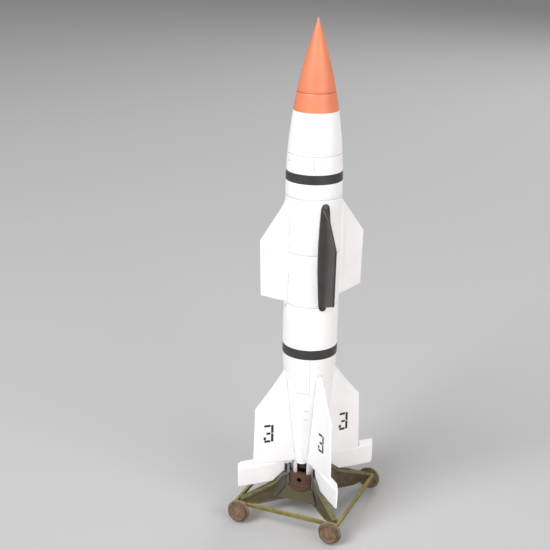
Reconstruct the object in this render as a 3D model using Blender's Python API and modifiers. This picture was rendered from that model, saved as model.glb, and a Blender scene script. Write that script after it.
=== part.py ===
"""Display model of a finned rocket standing on its four-wheeled launch trolley.

World frame: +Z up, origin on the ground under the rocket's axis. The trolley rolls along X, its
axles run along Y, and the wings, fins and legs stand on the four diagonals.
All sizes below are in millimetres; MM turns them into metres.
"""
import math

import bmesh
import bpy
from mathutils import Matrix

MM = 0.001

# --- general -------------------------------------------------------------------------------
GAP = 0.05                    # air between pieces that touch
STEPS = 36                    # facets round the rocket's body
FINE_STEPS = 16               # facets round pins, studs and small cones
WHEEL_STEPS = 24              # facets round the wheels and the nozzle
DRILL_STEPS = 12              # facets round drilled holes
QUARTERS = (1, 2, 3, 4)       # copies round the axis: 1 at +X-Y, then anticlockwise from above
DIAGONAL = math.radians(-45)  # direction of copy 1
QUARTER_TURN = math.radians(90)
SMOOTH_ANGLE = math.radians(32)

# --- heights of the rocket's stations above the ground ---------------------------------------
TIP_Z = 116.5
NOSE_BASE_Z = 97.0            # joint between the nose and the forward section
SHOULDER_Z = 80.0             # the ogive meets the cylinder here
FORWARD_JOINT_Z = 77.6        # joint between the forward and centre sections
AFT_JOINT_Z = 52.6            # joint between the centre and tail sections
TAIL_START_Z = 42.0           # the cylinder starts to taper
TAIL_BASE_Z = 13.1
UPPER_BAND_Z = (81.75, 83.85)
LOWER_BAND_Z = (40.8, 43.1)

# --- rocket body ---------------------------------------------------------------------------
BODY_R = 6.3
TAIL_BASE_R = 3.63
TAIL_POWER = 1.3              # shape of the tail's taper
NOSE_BLUNT_R = 0.22
WALL = 0.9
SPIGOT_LENGTH = 2.2
SPIGOT_WALL = 1.0
BAND_DEPTH = 0.22             # depth of the seat that a marking band lies in

# --- wings -----------------------------------------------------------------------------------
WING_TIP_R = 12.6
WING_LEAD_ROOT_Z = 76.5
WING_LEAD_TIP_Z = 68.4
WING_TRAIL_TIP_Z = 55.95
WING_TRAIL_ROOT_Z = 54.1
WING_HALF = 0.36              # half thickness of the flat panel
FAIRING_MARGIN = 0.1          # the fairing ends this far inside the centre section
FAIRING_HALF = 1.45           # half width of the root fairing at mid length
FAIRING_END_HALF = 0.85
FAIRING_REACH = 2.1           # how far the fairing runs out along the wing

# --- fins and rudders ------------------------------------------------------------------------
FIN_LEAD_ROOT_Z = 37.4
FIN_LEAD_TIP_Z = 27.7
FIN_TIP_R = 13.3
FIN_FLARE = 0.42              # the tip edge leans out by this much at the bottom
FIN_ROOT_TOP_HALF = 0.65
FIN_ROOT_HALF = 1.45          # half thickness at the root, at the bottom
FIN_EDGE_HALF = 0.24
RUDDER_AXIS_Z = 12.9
RUDDER_NOSE_R = 0.5           # radius of the rudder's round leading edge
RUDDER_ROOM = 0.63            # between a guide post and the rudder
RUDDER_OUTER_R = 17.5
RUDDER_KNEE_REACH = 2.9       # the inner bottom corner is cut off over this length
RUDDER_KNEE_Z = 10.4
RUDDER_BOTTOM_Z = 8.15
HORN_TOP_Z = 14.75
HORN_GAP = 0.14               # between the fin's outer edge and the rudder's balance horn
RUDDER_EDGE_HALF = 0.16
RUDDER_CORNER = 0.55          # size of the cut-off outer corners
PIN_R = 0.22
RUNNING = 0.05                # radial clearance of pins and wheels
LUG_HALF = 0.5
LUG_STAND_OFF = 0.37          # from the tail's skin to the lug
LUG_BELOW_AXIS = 0.5
PIN_IN_LUG = 1.05
PIN_IN_RUDDER = 2.7

# --- tail end --------------------------------------------------------------------------------
FOOT_INSET = 0.11             # from the tail's skin to the outer face of a foot
FOOT_THICK = 0.59
FOOT_HALF = 1.3
FOOT_SEAT = 0.4               # the feet stand this far below the launch ring's rim
BLISTER_R = 1.25
BLISTER_TIP_R = 0.15
BLISTER_TOP_Z = 18.2
BLISTER_PROUD = 0.72          # the cone fairing's ridge stands this far off the tail's skin
NOZZLE_ROOM = 0.43            # between the bell's exit and the feet
NOZZLE_THROAT_SHARE = 0.52    # throat radius as a share of the exit's
NOZZLE_EXIT_Z = 11.0
NOZZLE_TOP_Z = 18.5
NOZZLE_WALL = 0.35
NOZZLE_FLANGE = 0.6

# --- launch trolley --------------------------------------------------------------------------
RING_ROOM = 0.55              # between the feet and the inside of the ring
RING_WALL = 0.5
RING_TOP_Z = 10.28
RING_LEDGE = 0.5
LEDGE_REACH = 0.73            # the ledge runs this far inside the feet
HOLE_R = 0.63
HOLE_COUNT = 8
HOLE_DROP = 1.45              # the holes' centres lie this far below the ring's top
LIP_WIDTH = 0.48              # the hub's round lip stands this far outside the ring
LIP_TOP_Z = 7.05
HUB_TOP_Z = 6.5
HUB_TOP_INSET = 0.65          # the pyramid's top lies this far inside the lip
HUB_BOTTOM_Z = 4.0
HUB_SPREAD = 1.6              # the pyramid widens by this much on each side
LEG_HALF = 0.7
LEG_BOTTOM_Z = 2.95
LEG_RISE_LENGTH = 4.2         # the underside rises over the leg's last stretch
LEG_END_BOTTOM_Z = 4.25
LEG_END_TOP_Z = 5.15
LEG_HEAD_DROP = 0.48          # the leg's head ends this far below the ring's top
LEG_HEAD_LENGTH = 1.28        # flat top of the head, from the leg's inner end
LEG_SWEEP_LENGTH = 3.0        # the top sweeps down over this length
LEG_SWEEP_DROP = 2.25
FLANGE = 0.38                 # thickness of the leg's flanges
WEB_DEPTH = 0.42              # depth of the pocket on each side of the web
POST_THICK = 0.6
POST_HALF = 0.65
POST_ABOVE_RING = 2.02
POST_ROUND = 0.39             # radius of the post's top corners
POST_RIM = 0.16
POST_POCKET = 0.3
BAR_CENTRE = 12.75            # distance of each tie bar from the axis
BAR_THICK = 0.7
BAR_HEIGHT = 0.85
BAR_BOTTOM_Z = 3.85
AXLE_INSET = 1.31             # from the tie bars' centre line to the axle
AXLE_R = 0.45
WHEEL_TREAD_R = 2.22
WHEEL_FLANGE_HEIGHT = 0.54
WHEEL_FLANGE_WIDTH = 0.5
WHEEL_LEAD = 0.12             # chamfers of the tread and flange
WHEEL_TREAD_WIDTH = 1.05
WHEEL_DISH = 0.22
WHEEL_RIM = 0.42
WHEEL_BOSS_R = 0.85
BRACKET_THICK = 0.38
BRACKET_HALF = 1.0
BRACKET_CHAMFER = 0.45
BRACKET_BELOW_AXLE = 0.95
WHEEL_SIDE_GAP = 0.1
PIN_HEAD_R = 0.72
PIN_CROWN_R = 0.43            # flat middle of the pin's head
PIN_HEAD = 0.25
PIN_RIM = 0.1

# --- sizes that follow from those above ------------------------------------------------------
FAIRING_TOP_Z = FORWARD_JOINT_Z - FAIRING_MARGIN
FAIRING_BOTTOM_Z = AFT_JOINT_Z + FAIRING_MARGIN
LUG_INNER_R = TAIL_BASE_R + LUG_STAND_OFF
BLISTER_RIDGE_R = TAIL_BASE_R + BLISTER_PROUD
FOOT_OUTER_R = TAIL_BASE_R - FOOT_INSET
FOOT_INNER_R = FOOT_OUTER_R - FOOT_THICK
NOZZLE_EXIT_R = FOOT_INNER_R - NOZZLE_ROOM
NOZZLE_THROAT_R = NOZZLE_EXIT_R * NOZZLE_THROAT_SHARE
RING_INNER_R = FOOT_OUTER_R + RING_ROOM
RING_R = RING_INNER_R + RING_WALL
RING_LEDGE_INNER_R = FOOT_INNER_R - LEDGE_REACH
HOLE_Z = RING_TOP_Z - HOLE_DROP
LIP_R = RING_R + LIP_WIDTH
HUB_TOP_HALF = LIP_R - HUB_TOP_INSET
HUB_BOTTOM_HALF = HUB_TOP_HALF + HUB_SPREAD
POST_INNER_R = RING_R + GAP
POST_TOP_Z = RING_TOP_Z + POST_ABOVE_RING
RUDDER_INNER_R = POST_INNER_R + POST_THICK + RUDDER_ROOM
RUDDER_KNEE_R = RUDDER_INNER_R + RUDDER_KNEE_REACH
LEG_INNER_R = POST_INNER_R + 2 * GAP
LEG_END_R = (BAR_CENTRE - BAR_THICK / 2 - GAP / 2) * math.sqrt(2) - LEG_HALF
LEG_KNEE_R = LEG_END_R - LEG_RISE_LENGTH
LEG_HEAD_TOP_Z = RING_TOP_Z - LEG_HEAD_DROP
LEG_HEAD_R = LEG_INNER_R + LEG_HEAD_LENGTH
LEG_FOOT_R = LEG_HEAD_R + LEG_SWEEP_LENGTH
LEG_FOOT_Z = LEG_HEAD_TOP_Z - LEG_SWEEP_DROP
BAR_TOP_Z = BAR_BOTTOM_Z + BAR_HEIGHT
AXLE_X = BAR_CENTRE - AXLE_INSET
WHEEL_FLANGE_R = WHEEL_TREAD_R + WHEEL_FLANGE_HEIGHT

# --- colours ---------------------------------------------------------------------------------
WHITE = (0.86, 0.85, 0.83)
SALMON = (0.80, 0.24, 0.13)
CHARCOAL = (0.045, 0.043, 0.040)
OLIVE = (0.30, 0.27, 0.11)
RUST = (0.15, 0.095, 0.065)
WHEEL_BROWN = (0.34, 0.22, 0.16)
STEEL = (0.35, 0.36, 0.38)
SOOT = (0.03, 0.027, 0.032)

materials = {}
for old in list(bpy.data.objects):
    bpy.data.objects.remove(old, do_unlink=True)
scene = bpy.context.scene
parts = bpy.data.collections.new("rocket_on_trolley")
cutters = bpy.data.collections.new("cutters")
scene.collection.children.link(parts)
scene.collection.children.link(cutters)


def paint(name, colour, roughness, metallic=0.0):
    """One Principled material, made once for each name."""
    if name not in materials:
        mat = bpy.data.materials.new(name)
        mat.use_nodes = True
        shader = mat.node_tree.nodes["Principled BSDF"]
        shader.inputs["Base Color"].default_value = (*colour, 1.0)
        shader.inputs["Roughness"].default_value = roughness
        shader.inputs["Metallic"].default_value = metallic
        materials[name] = mat
    return materials[name]


def holder(name):
    empty = bpy.data.objects.new(name, None)
    parts.objects.link(empty)
    return empty


def add_part(name, mesh, parent, mat, smooth=True):
    """Link a mesh as a named part of the model."""
    if not mesh.materials:
        mesh.materials.append(mat)
    if smooth:
        mesh.shade_smooth()
        mesh.set_sharp_from_angle(angle=SMOOTH_ANGLE)
    obj = bpy.data.objects.new(name, mesh)
    parts.objects.link(obj)
    obj.parent = parent
    return obj


def add_cutter(name, mesh, parent=None):
    obj = bpy.data.objects.new(name, mesh)
    cutters.objects.link(obj)
    obj.hide_render = True
    obj.display_type = "WIRE"
    obj.parent = parent
    return obj


def combine(obj, tool, operation="DIFFERENCE"):
    mod = obj.modifiers.new(tool.name, "BOOLEAN")
    mod.operation = operation
    mod.solver = "EXACT"
    mod.object = tool
    return mod


def quarter_angle(number):
    return DIAGONAL + (number - 1) * QUARTER_TURN


def finish(bm, name):
    bmesh.ops.recalc_face_normals(bm, faces=bm.faces)
    mesh = bpy.data.meshes.new(name)
    bm.to_mesh(mesh)
    bm.free()
    return mesh


# --- mesh makers -----------------------------------------------------------------------------
def turned_mesh(name, profile, closed):
    """Profile points (radius, height): down the outer side, then up the inner side."""
    mesh = bpy.data.meshes.new(name)
    points = [(radius * MM, 0.0, height * MM) for radius, height in profile]
    edges = [(i, i + 1) for i in range(len(points) - 1)]
    if closed:
        edges.append((len(points) - 1, 0))
    mesh.from_pydata(points, edges, [])
    return mesh


def spin(obj, steps):
    mod = obj.modifiers.new("turn", "SCREW")
    mod.axis = "Z"
    mod.angle = 2 * math.pi
    mod.steps = steps
    mod.render_steps = steps
    mod.use_merge_vertices = True
    mod.merge_threshold = 1e-7
    mod.use_smooth_shade = True
    return obj


def turned(name, profile, parent, mat, steps=STEPS, closed=True):
    mesh = turned_mesh(name, profile, closed)
    mesh.materials.append(mat)
    return spin(add_part(name, mesh, parent, mat, smooth=False), steps)


def box_mesh(name, x, y, z):
    """A box between two bounds on each axis."""
    bm = bmesh.new()
    bmesh.ops.create_cube(bm, size=1.0)
    bounds = (x, y, z)
    for vert in bm.verts:
        for axis in range(3):
            low, high = bounds[axis]
            vert.co[axis] = (low + (vert.co[axis] + 0.5) * (high - low)) * MM
    return finish(bm, name)


def rod_mesh(name, radius, length, steps=FINE_STEPS, end_radius=None):
    """A rod or cone from the origin along +Z."""
    bm = bmesh.new()
    top = radius if end_radius is None else end_radius
    bmesh.ops.create_cone(bm, cap_ends=True, segments=steps, radius1=radius * MM, radius2=top * MM,
                          depth=length * MM, matrix=Matrix.Translation((0, 0, length * MM / 2)))
    return finish(bm, name)


def lofted_plate(name, columns, rows, place):
    """A plate from a grid: place(column, row) gives (reach, height, half thickness)."""
    bm = bmesh.new()
    bmesh.ops.create_grid(bm, x_segments=columns - 1, y_segments=rows - 1, size=0.5)
    everything = list(bm.verts) + list(bm.edges) + list(bm.faces)
    grown = bmesh.ops.extrude_face_region(bm, geom=everything, use_keep_orig=True)
    far = {item for item in grown["geom"] if isinstance(item, bmesh.types.BMVert)}
    for vert in bm.verts:
        column = round((vert.co.x + 0.5) * (columns - 1))
        row = round((vert.co.y + 0.5) * (rows - 1))
        reach, height, half = place(column, row)
        side = 1 if vert in far else -1
        vert.co = (reach * MM, side * half * MM, height * MM)
    return finish(bm, name)


def outline_mesh(name, points, half):
    """A flat outline in X and Z, thickened to both sides of Y."""
    curve = bpy.data.curves.new(name, "CURVE")
    curve.dimensions = "2D"
    curve.fill_mode = "BOTH"
    curve.extrude = half * MM
    spline = curve.splines.new("POLY")
    spline.points.add(len(points) - 1)
    for slot, (reach, height) in zip(spline.points, points):
        slot.co = (reach * MM, height * MM, 0.0, 1.0)
    spline.use_cyclic_u = True
    flat = bpy.data.objects.new(name, curve)
    scene.collection.objects.link(flat)
    bpy.context.view_layer.update()
    depsgraph = bpy.context.evaluated_depsgraph_get()
    mesh = bpy.data.meshes.new_from_object(flat.evaluated_get(depsgraph))
    bpy.data.objects.remove(flat, do_unlink=True)
    bm = bmesh.new()
    bm.from_mesh(mesh)
    bmesh.ops.remove_doubles(bm, verts=bm.verts, dist=1e-7)
    bmesh.ops.rotate(bm, verts=bm.verts, matrix=Matrix.Rotation(math.radians(90), 3, "X"))
    bpy.data.meshes.remove(mesh)
    return finish(bm, name)


def lerp(low, high, share):
    return low + (high - low) * share


# --- rocket body -----------------------------------------------------------------------------
def nose_radius(z):
    """Tangent ogive from the shoulder to the tip."""
    length = TIP_Z - SHOULDER_Z
    arc = (BODY_R ** 2 + length ** 2) / (2 * BODY_R)
    rise = max(z - SHOULDER_Z, 0.0)
    return max(BODY_R - arc + math.sqrt(arc ** 2 - rise ** 2), 0.0)


def tail_radius(z):
    share = max(TAIL_START_Z - z, 0.0) / (TAIL_START_Z - TAIL_BASE_Z)
    return BODY_R - (BODY_R - TAIL_BASE_R) * share ** TAIL_POWER


def body_radius(z):
    return nose_radius(z) if z > SHOULDER_Z else tail_radius(z)


def stations(top, bottom, count):
    return [lerp(top, bottom, i / (count - 1)) for i in range(count)]


def outer_profile(heights, extra=0.0):
    return [(body_radius(z) + extra, z) for z in heights]


def spigot_radius(z):
    """Outside of the spigot that plugs into the section below height z."""
    return body_radius(z) - WALL - GAP


def banded_side(top, band, bottom, above, below):
    """The outer side of a section that carries a marking band in a shallow seat."""
    low, high = band
    side = outer_profile(stations(top, high, above))
    side += [(body_radius(high) - BAND_DEPTH, high), (body_radius(low) - BAND_DEPTH, low)]
    return side + outer_profile(stations(low, bottom, below))


def make_nose(rocket):
    joint = NOSE_BASE_Z + GAP / 2
    side = [(0.0, TIP_Z), (NOSE_BLUNT_R, nose_blunt_z())]
    side += outer_profile(stations(nose_blunt_z(), joint, 10)[1:])
    plug = spigot_radius(NOSE_BASE_Z)
    side += [(plug, joint), (plug, NOSE_BASE_Z - SPIGOT_LENGTH), (0.0, NOSE_BASE_Z - SPIGOT_LENGTH)]
    turned("nose_cone", side, rocket, paint("salmon paint", SALMON, 0.45), closed=False)


def nose_blunt_z():
    """Height at which the ogive is as wide as the blunt tip."""
    length = TIP_Z - SHOULDER_Z
    arc = (BODY_R ** 2 + length ** 2) / (2 * BODY_R)
    return SHOULDER_Z + math.sqrt(arc ** 2 - (arc - BODY_R + NOSE_BLUNT_R) ** 2)


def spigot_end(z):
    """Bottom of a section: a step in to its spigot, and back up its bore."""
    plug = spigot_radius(z)
    return [(plug, z + GAP / 2), (plug, z - SPIGOT_LENGTH), (plug - SPIGOT_WALL, z - SPIGOT_LENGTH)]


def socket(z):
    """Top of a section's bore: a step that the spigot above height z sits on."""
    seat = body_radius(z) - WALL
    step = z - 2 * SPIGOT_LENGTH
    return [(seat - SPIGOT_WALL, step), (seat, step), (seat, z - GAP / 2)]


def make_sections(rocket):
    white = paint("white paint", WHITE, 0.5)
    top = NOSE_BASE_Z - GAP / 2
    side = banded_side(top, UPPER_BAND_Z, FORWARD_JOINT_Z + GAP / 2, 5, 2)
    turned("forward_section", side + spigot_end(FORWARD_JOINT_Z) + socket(NOSE_BASE_Z), rocket, white)

    top = FORWARD_JOINT_Z - GAP / 2
    side = outer_profile([top, AFT_JOINT_Z + GAP / 2])
    turned("centre_section", side + spigot_end(AFT_JOINT_Z) + socket(FORWARD_JOINT_Z), rocket, white)

    top = AFT_JOINT_Z - GAP / 2
    side = banded_side(top, LOWER_BAND_Z, TAIL_BASE_Z, 2, 9)
    inside = [(tail_radius(z) - WALL, z) for z in stations(TAIL_BASE_Z, TAIL_START_Z, 4)]
    tail = turned("tail_section", side + inside + socket(AFT_JOINT_Z), rocket, white)
    foot_bottom = RING_TOP_Z - FOOT_SEAT
    for number in QUARTERS:
        foot = add_cutter(f"foot_{number}", box_mesh(
            "foot", (FOOT_INNER_R, FOOT_OUTER_R), (-FOOT_HALF, FOOT_HALF),
            (foot_bottom, TAIL_BASE_Z + WALL / 8)), rocket)
        foot.rotation_euler.z = quarter_angle(number)
        combine(tail, foot, "UNION")


def make_bands(rocket):
    for name, (low, high) in (("upper_band", UPPER_BAND_Z), ("lower_band", LOWER_BAND_Z)):
        low += GAP
        high -= GAP
        profile = [(body_radius(high), high), (body_radius(low), low),
                   (body_radius(low) - BAND_DEPTH + GAP, low), (body_radius(high) - BAND_DEPTH + GAP, high)]
        turned(name, profile, rocket, paint("charcoal paint", CHARCOAL, 0.35))


def body_cutter(name, top, bottom, count, rocket):
    """The body's outside plus the gap, as a solid that trims whatever seats on it."""
    heights = stations(top, bottom, count)
    profile = [(0.0, top)] + outer_profile(heights, GAP) + [(0.0, bottom)]
    return spin(add_cutter(name, turned_mesh(name, profile, False), rocket), STEPS)


# --- wings -----------------------------------------------------------------------------------
WING_COLUMNS = (-0.7, 0.3, 0.45, 1.0)       # reach past the body, as shares of the fairing's reach
WING_ROWS = (0.0, 0.02, 0.07, 0.2, 0.4, 0.6, 0.8, 0.93, 0.98, 1.0)


def wing_mesh():
    panel = (lerp(BODY_R + FAIRING_REACH, WING_TIP_R, 0.5), WING_TIP_R - WING_HALF, WING_TIP_R)
    reaches = [BODY_R + share * FAIRING_REACH for share in WING_COLUMNS] + list(panel)
    thickness = (1.0, 0.93, 0.72, 0.0, 0.0, 0.0, 0.0)
    panel_half = (WING_HALF, WING_HALF, WING_HALF, WING_HALF, 0.92 * WING_HALF, 0.8 * WING_HALF,
                  0.4 * WING_HALF)

    def place(column, row):
        reach = reaches[column]
        share = WING_ROWS[row]
        span = (reach - BODY_R) / (WING_TIP_R - BODY_R)
        if column < 2:
            top, bottom = FAIRING_TOP_Z, FAIRING_BOTTOM_Z
        else:
            top = lerp(WING_LEAD_ROOT_Z, WING_LEAD_TIP_Z, span)
            bottom = lerp(WING_TRAIL_ROOT_Z, WING_TRAIL_TIP_Z, span)
        fat = lerp(FAIRING_END_HALF, FAIRING_HALF, math.sin(math.pi * share) ** 0.8)
        half = lerp(panel_half[column], fat, thickness[column])
        edge = {0: 0.45, 1: 0.9}.get(min(row, len(WING_ROWS) - 1 - row), 1.0)
        return reach, lerp(bottom, top, share), half * edge

    return lofted_plate("wing", len(reaches), len(WING_ROWS), place)


def make_wings(rocket):
    trim = body_cutter("wing_seat", FAIRING_TOP_Z + WALL, FAIRING_BOTTOM_Z - WALL, 2, rocket)
    for number in QUARTERS:
        mat = paint("charcoal paint", CHARCOAL, 0.35) if number == 1 else paint("white paint", WHITE, 0.5)
        wing = add_part(f"wing_{number}", wing_mesh(), rocket, mat)
        wing.rotation_euler.z = quarter_angle(number)
        combine(wing, trim)


# --- fins and rudders ------------------------------------------------------------------------
FIN_COLUMNS = (0.0, 0.14, 0.26, 0.42, 0.62, 0.82, 0.985, 1.0)
FIN_ROWS = (0.0, 0.12, 0.3, 0.5, 0.7, 0.85, 0.95, 0.985, 1.0)
FIN_TAPER = (1.0, 0.82, 0.55, 0.36, 0.25, 0.1, 0.0, -0.1)


def fin_bottom():
    return RUDDER_AXIS_Z + RUDDER_NOSE_R + GAP


def fin_edge_radius(z):
    return FIN_TIP_R + FIN_FLARE * (FIN_LEAD_TIP_Z - z) / (FIN_LEAD_TIP_Z - fin_bottom())


def fin_mesh():
    def place(column, row):
        across = FIN_COLUMNS[column]
        share = FIN_ROWS[row]
        top = lerp(FIN_LEAD_ROOT_Z, FIN_LEAD_TIP_Z, across)
        z = lerp(fin_bottom(), top, share)
        reach = lerp(tail_radius(z) - WALL, fin_edge_radius(z), across)
        depth = (FIN_LEAD_ROOT_Z - z) / (FIN_LEAD_ROOT_Z - fin_bottom())
        root = lerp(FIN_ROOT_TOP_HALF, FIN_ROOT_HALF, max(depth, 0.0) ** 0.6)
        half = FIN_EDGE_HALF + (root - FIN_EDGE_HALF) * FIN_TAPER[column]
        edge = {0: 0.3, 1: 0.75}.get(len(FIN_ROWS) - 1 - row, 1.0)
        return reach, z, max(half, 0.12) * edge

    return lofted_plate("fin", len(FIN_COLUMNS), len(FIN_ROWS), place)


def along_reach(obj, reach, z):
    """Point a rod that was made along +Z outwards along local +X."""
    obj.matrix_local = Matrix.Translation((reach * MM, 0, z * MM)) @ Matrix.Rotation(QUARTER_TURN, 4, "Y")


def make_fins(rocket):
    white = paint("white paint", WHITE, 0.5)
    trim = body_cutter("fin_seat", FIN_LEAD_ROOT_Z + WALL, TAIL_BASE_Z - WALL, 11, rocket)
    lug_outer = RUDDER_INNER_R - 2 * GAP
    for number in QUARTERS:
        frame = holder(f"fin_frame_{number}")
        frame.parent = rocket
        frame.rotation_euler.z = quarter_angle(number)
        fin = add_part(f"fin_{number}", fin_mesh(), frame, white)
        lug = add_cutter(f"lug_{number}", box_mesh(
            "lug", (LUG_INNER_R, lug_outer), (-LUG_HALF, LUG_HALF),
            (RUDDER_AXIS_Z - LUG_BELOW_AXIS, fin_bottom() + WALL / 4)), frame)
        bore = add_cutter(f"lug_bore_{number}", rod_mesh(
            "lug_bore", PIN_R + RUNNING, PIN_IN_LUG + 3 * GAP, DRILL_STEPS), frame)
        along_reach(bore, lug_outer - PIN_IN_LUG - GAP, RUDDER_AXIS_Z)
        combine(fin, trim)
        combine(fin, lug, "UNION")
        combine(fin, bore)


def rudder_columns():
    """For each column of the rudder: reach, bottom and top heights from the hinge axis."""
    nose = RUDDER_NOSE_R
    knee = RUDDER_KNEE_Z - RUDDER_AXIS_Z
    low = RUDDER_BOTTOM_Z - RUDDER_AXIS_Z
    horn = HORN_TOP_Z - RUDDER_AXIS_Z
    horn_r = fin_edge_radius(fin_bottom()) + HORN_GAP
    nick = 0.3 * RUDDER_CORNER
    return [
        (RUDDER_INNER_R, knee, nose),
        (lerp(RUDDER_INNER_R, RUDDER_KNEE_R, 0.5), (knee + low) / 2, nose),
        (RUDDER_KNEE_R, low, nose),
        (lerp(RUDDER_KNEE_R, horn_r, 0.5), low, nose),
        (horn_r - GAP, low, nose),
        (horn_r, low, horn),
        (RUDDER_OUTER_R - RUDDER_CORNER, low, horn),
        (RUDDER_OUTER_R - nick, low + nick, horn - nick),
        (RUDDER_OUTER_R, low + RUDDER_CORNER, horn - RUDDER_CORNER),
    ]


def rudder_mesh():
    columns = rudder_columns()
    nose = RUDDER_NOSE_R
    rows = 7

    def place(column, row):
        reach, bottom, top = columns[column]
        horn = top > nose
        heights = (bottom, bottom + RUDDER_EDGE_HALF, lerp(bottom, 0.0, 0.55), 0.0,
                   nose * math.sin(math.radians(40)), nose * math.sin(math.radians(70)), top)
        halves = (0.4 * RUDDER_EDGE_HALF, RUDDER_EDGE_HALF, lerp(RUDDER_EDGE_HALF, nose, 0.6), nose,
                  nose * math.cos(math.radians(40)), nose * math.cos(math.radians(70)),
                  RUDDER_EDGE_HALF if horn else 0.25 * RUDDER_EDGE_HALF)
        thin = 1.0 if reach < columns[5][0] else lerp(0.9, 0.6, (reach - columns[5][0]) / 4.0)
        half = halves[row] * thin
        if horn and row in (4, 5):
            half = max(half, RUDDER_EDGE_HALF)
        if column == len(columns) - 1:
            half *= 0.6
        return reach, heights[row], half

    return lofted_plate("rudder", len(columns), rows, place)


def make_rudders(rocket):
    white = paint("white paint", WHITE, 0.5)
    steel = paint("steel", STEEL, 0.4, 0.9)
    for number in QUARTERS:
        frame = holder(f"rudder_frame_{number}")
        frame.parent = rocket
        frame.location.z = RUDDER_AXIS_Z * MM
        frame.rotation_euler.z = quarter_angle(number)
        rudder = add_part(f"rudder_{number}", rudder_mesh(), frame, white)
        bore = add_cutter(f"rudder_bore_{number}", rod_mesh(
            "rudder_bore", PIN_R + RUNNING, PIN_IN_RUDDER + 2 * GAP, DRILL_STEPS), frame)
        along_reach(bore, RUDDER_INNER_R - GAP, 0.0)
        combine(rudder, bore)
        inner = RUDDER_INNER_R - 2 * GAP - PIN_IN_LUG
        pin = add_part(f"rudder_pin_{number}", rod_mesh(
            "rudder_pin", PIN_R, RUDDER_INNER_R + PIN_IN_RUDDER - GAP - inner, DRILL_STEPS), frame, steel)
        along_reach(pin, inner, 0.0)


# --- tail end --------------------------------------------------------------------------------
def make_nozzle(rocket):
    bore_r = tail_radius(TAIL_BASE_Z) - WALL - GAP
    plate_z = TAIL_BASE_Z + NOZZLE_FLANGE

    def bell(z):
        share = (NOZZLE_TOP_Z - z) / (NOZZLE_TOP_Z - NOZZLE_EXIT_Z)
        return lerp(NOZZLE_THROAT_R, NOZZLE_EXIT_R, share ** 0.8)

    side = [(bell(z) + NOZZLE_WALL * 0.5, z) for z in stations(NOZZLE_TOP_Z, plate_z + NOZZLE_FLANGE, 4)]
    side += [(bore_r, plate_z + NOZZLE_FLANGE), (bore_r, plate_z)]
    side += [(bell(z), z) for z in stations(plate_z, NOZZLE_EXIT_Z, 3)]
    inside = [(bell(z) - NOZZLE_WALL, z) for z in stations(NOZZLE_EXIT_Z, NOZZLE_TOP_Z - NOZZLE_WALL, 4)]
    profile = [(0.0, NOZZLE_TOP_Z)] + side + inside + [(0.0, NOZZLE_TOP_Z - NOZZLE_WALL)]
    turned("nozzle", profile, rocket, paint("soot", SOOT, 0.6), WHEEL_STEPS, closed=False)


def make_blisters(rocket):
    trim = body_cutter("blister_seat", BLISTER_TOP_Z + WALL, TAIL_BASE_Z - WALL, 9, rocket)
    height = BLISTER_TOP_Z - TAIL_BASE_Z
    for number in QUARTERS:
        mesh = rod_mesh("tail_fairing", BLISTER_R, height, FINE_STEPS, BLISTER_TIP_R)
        for vert in mesh.vertices:
            share = vert.co.z / (height * MM)
            vert.co.x += (BLISTER_RIDGE_R - lerp(BLISTER_R, BLISTER_TIP_R, share)) * MM
            vert.co.z += TAIL_BASE_Z * MM
        fairing = add_part(f"tail_fairing_{number}", mesh, rocket, paint("white paint", WHITE, 0.5))
        fairing.rotation_euler.z = quarter_angle(number) + QUARTER_TURN / 2
        combine(fairing, trim)


# --- launch trolley --------------------------------------------------------------------------
def make_ring(trolley):
    ledge_top = RING_TOP_Z - FOOT_SEAT - GAP
    inner = RING_INNER_R
    bottom = LIP_TOP_Z + GAP
    profile = [(RING_R, RING_TOP_Z), (RING_R, bottom), (inner, bottom),
               (inner, ledge_top - RING_LEDGE), (RING_LEDGE_INNER_R, ledge_top - RING_LEDGE),
               (RING_LEDGE_INNER_R, ledge_top), (inner, ledge_top), (inner, RING_TOP_Z)]
    ring = turned("launch_ring", profile, trolley, paint("rust", RUST, 0.7))
    drill = bmesh.new()
    for number in range(HOLE_COUNT):
        turn = Matrix.Rotation(number * 2 * math.pi / HOLE_COUNT, 4, "Z")
        lay = Matrix.Translation((RING_R * MM, 0, HOLE_Z * MM)) @ Matrix.Rotation(QUARTER_TURN, 4, "Y")
        bmesh.ops.create_cone(drill, cap_ends=True, segments=DRILL_STEPS, radius1=HOLE_R * MM,
                              radius2=HOLE_R * MM, depth=3 * RING_WALL * MM, matrix=turn @ lay)
    combine(ring, add_cutter("ring_drill", finish(drill, "ring_drill"), trolley))


def make_hub(trolley):
    olive = paint("olive paint", OLIVE, 0.65)
    height = HUB_TOP_Z - HUB_BOTTOM_Z
    mesh = rod_mesh("hub_base", HUB_BOTTOM_HALF * math.sqrt(2), height, 4, HUB_TOP_HALF * math.sqrt(2))
    mesh.transform(Matrix.Translation((0, 0, HUB_BOTTOM_Z * MM)) @ Matrix.Rotation(DIAGONAL, 4, "Z"))
    hub = add_part("hub_base", mesh, trolley, olive, smooth=False)
    sink = height / 10
    lip_mesh = rod_mesh("lip", LIP_R, LIP_TOP_Z - HUB_TOP_Z + sink, STEPS)
    lip_mesh.transform(Matrix.Translation((0, 0, (HUB_TOP_Z - sink) * MM)))
    combine(hub, add_cutter("lip", lip_mesh, trolley), "UNION")
    slot = LEG_HALF + GAP
    for number in QUARTERS:
        cut = add_cutter(f"leg_slot_{number}", box_mesh(
            "leg_slot", (LEG_INNER_R - GAP, HUB_BOTTOM_HALF * 2), (-slot, slot),
            (HUB_BOTTOM_Z - WALL, LIP_TOP_Z + WALL)), trolley)
        cut.rotation_euler.z = quarter_angle(number)
        combine(hub, cut)


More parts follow.
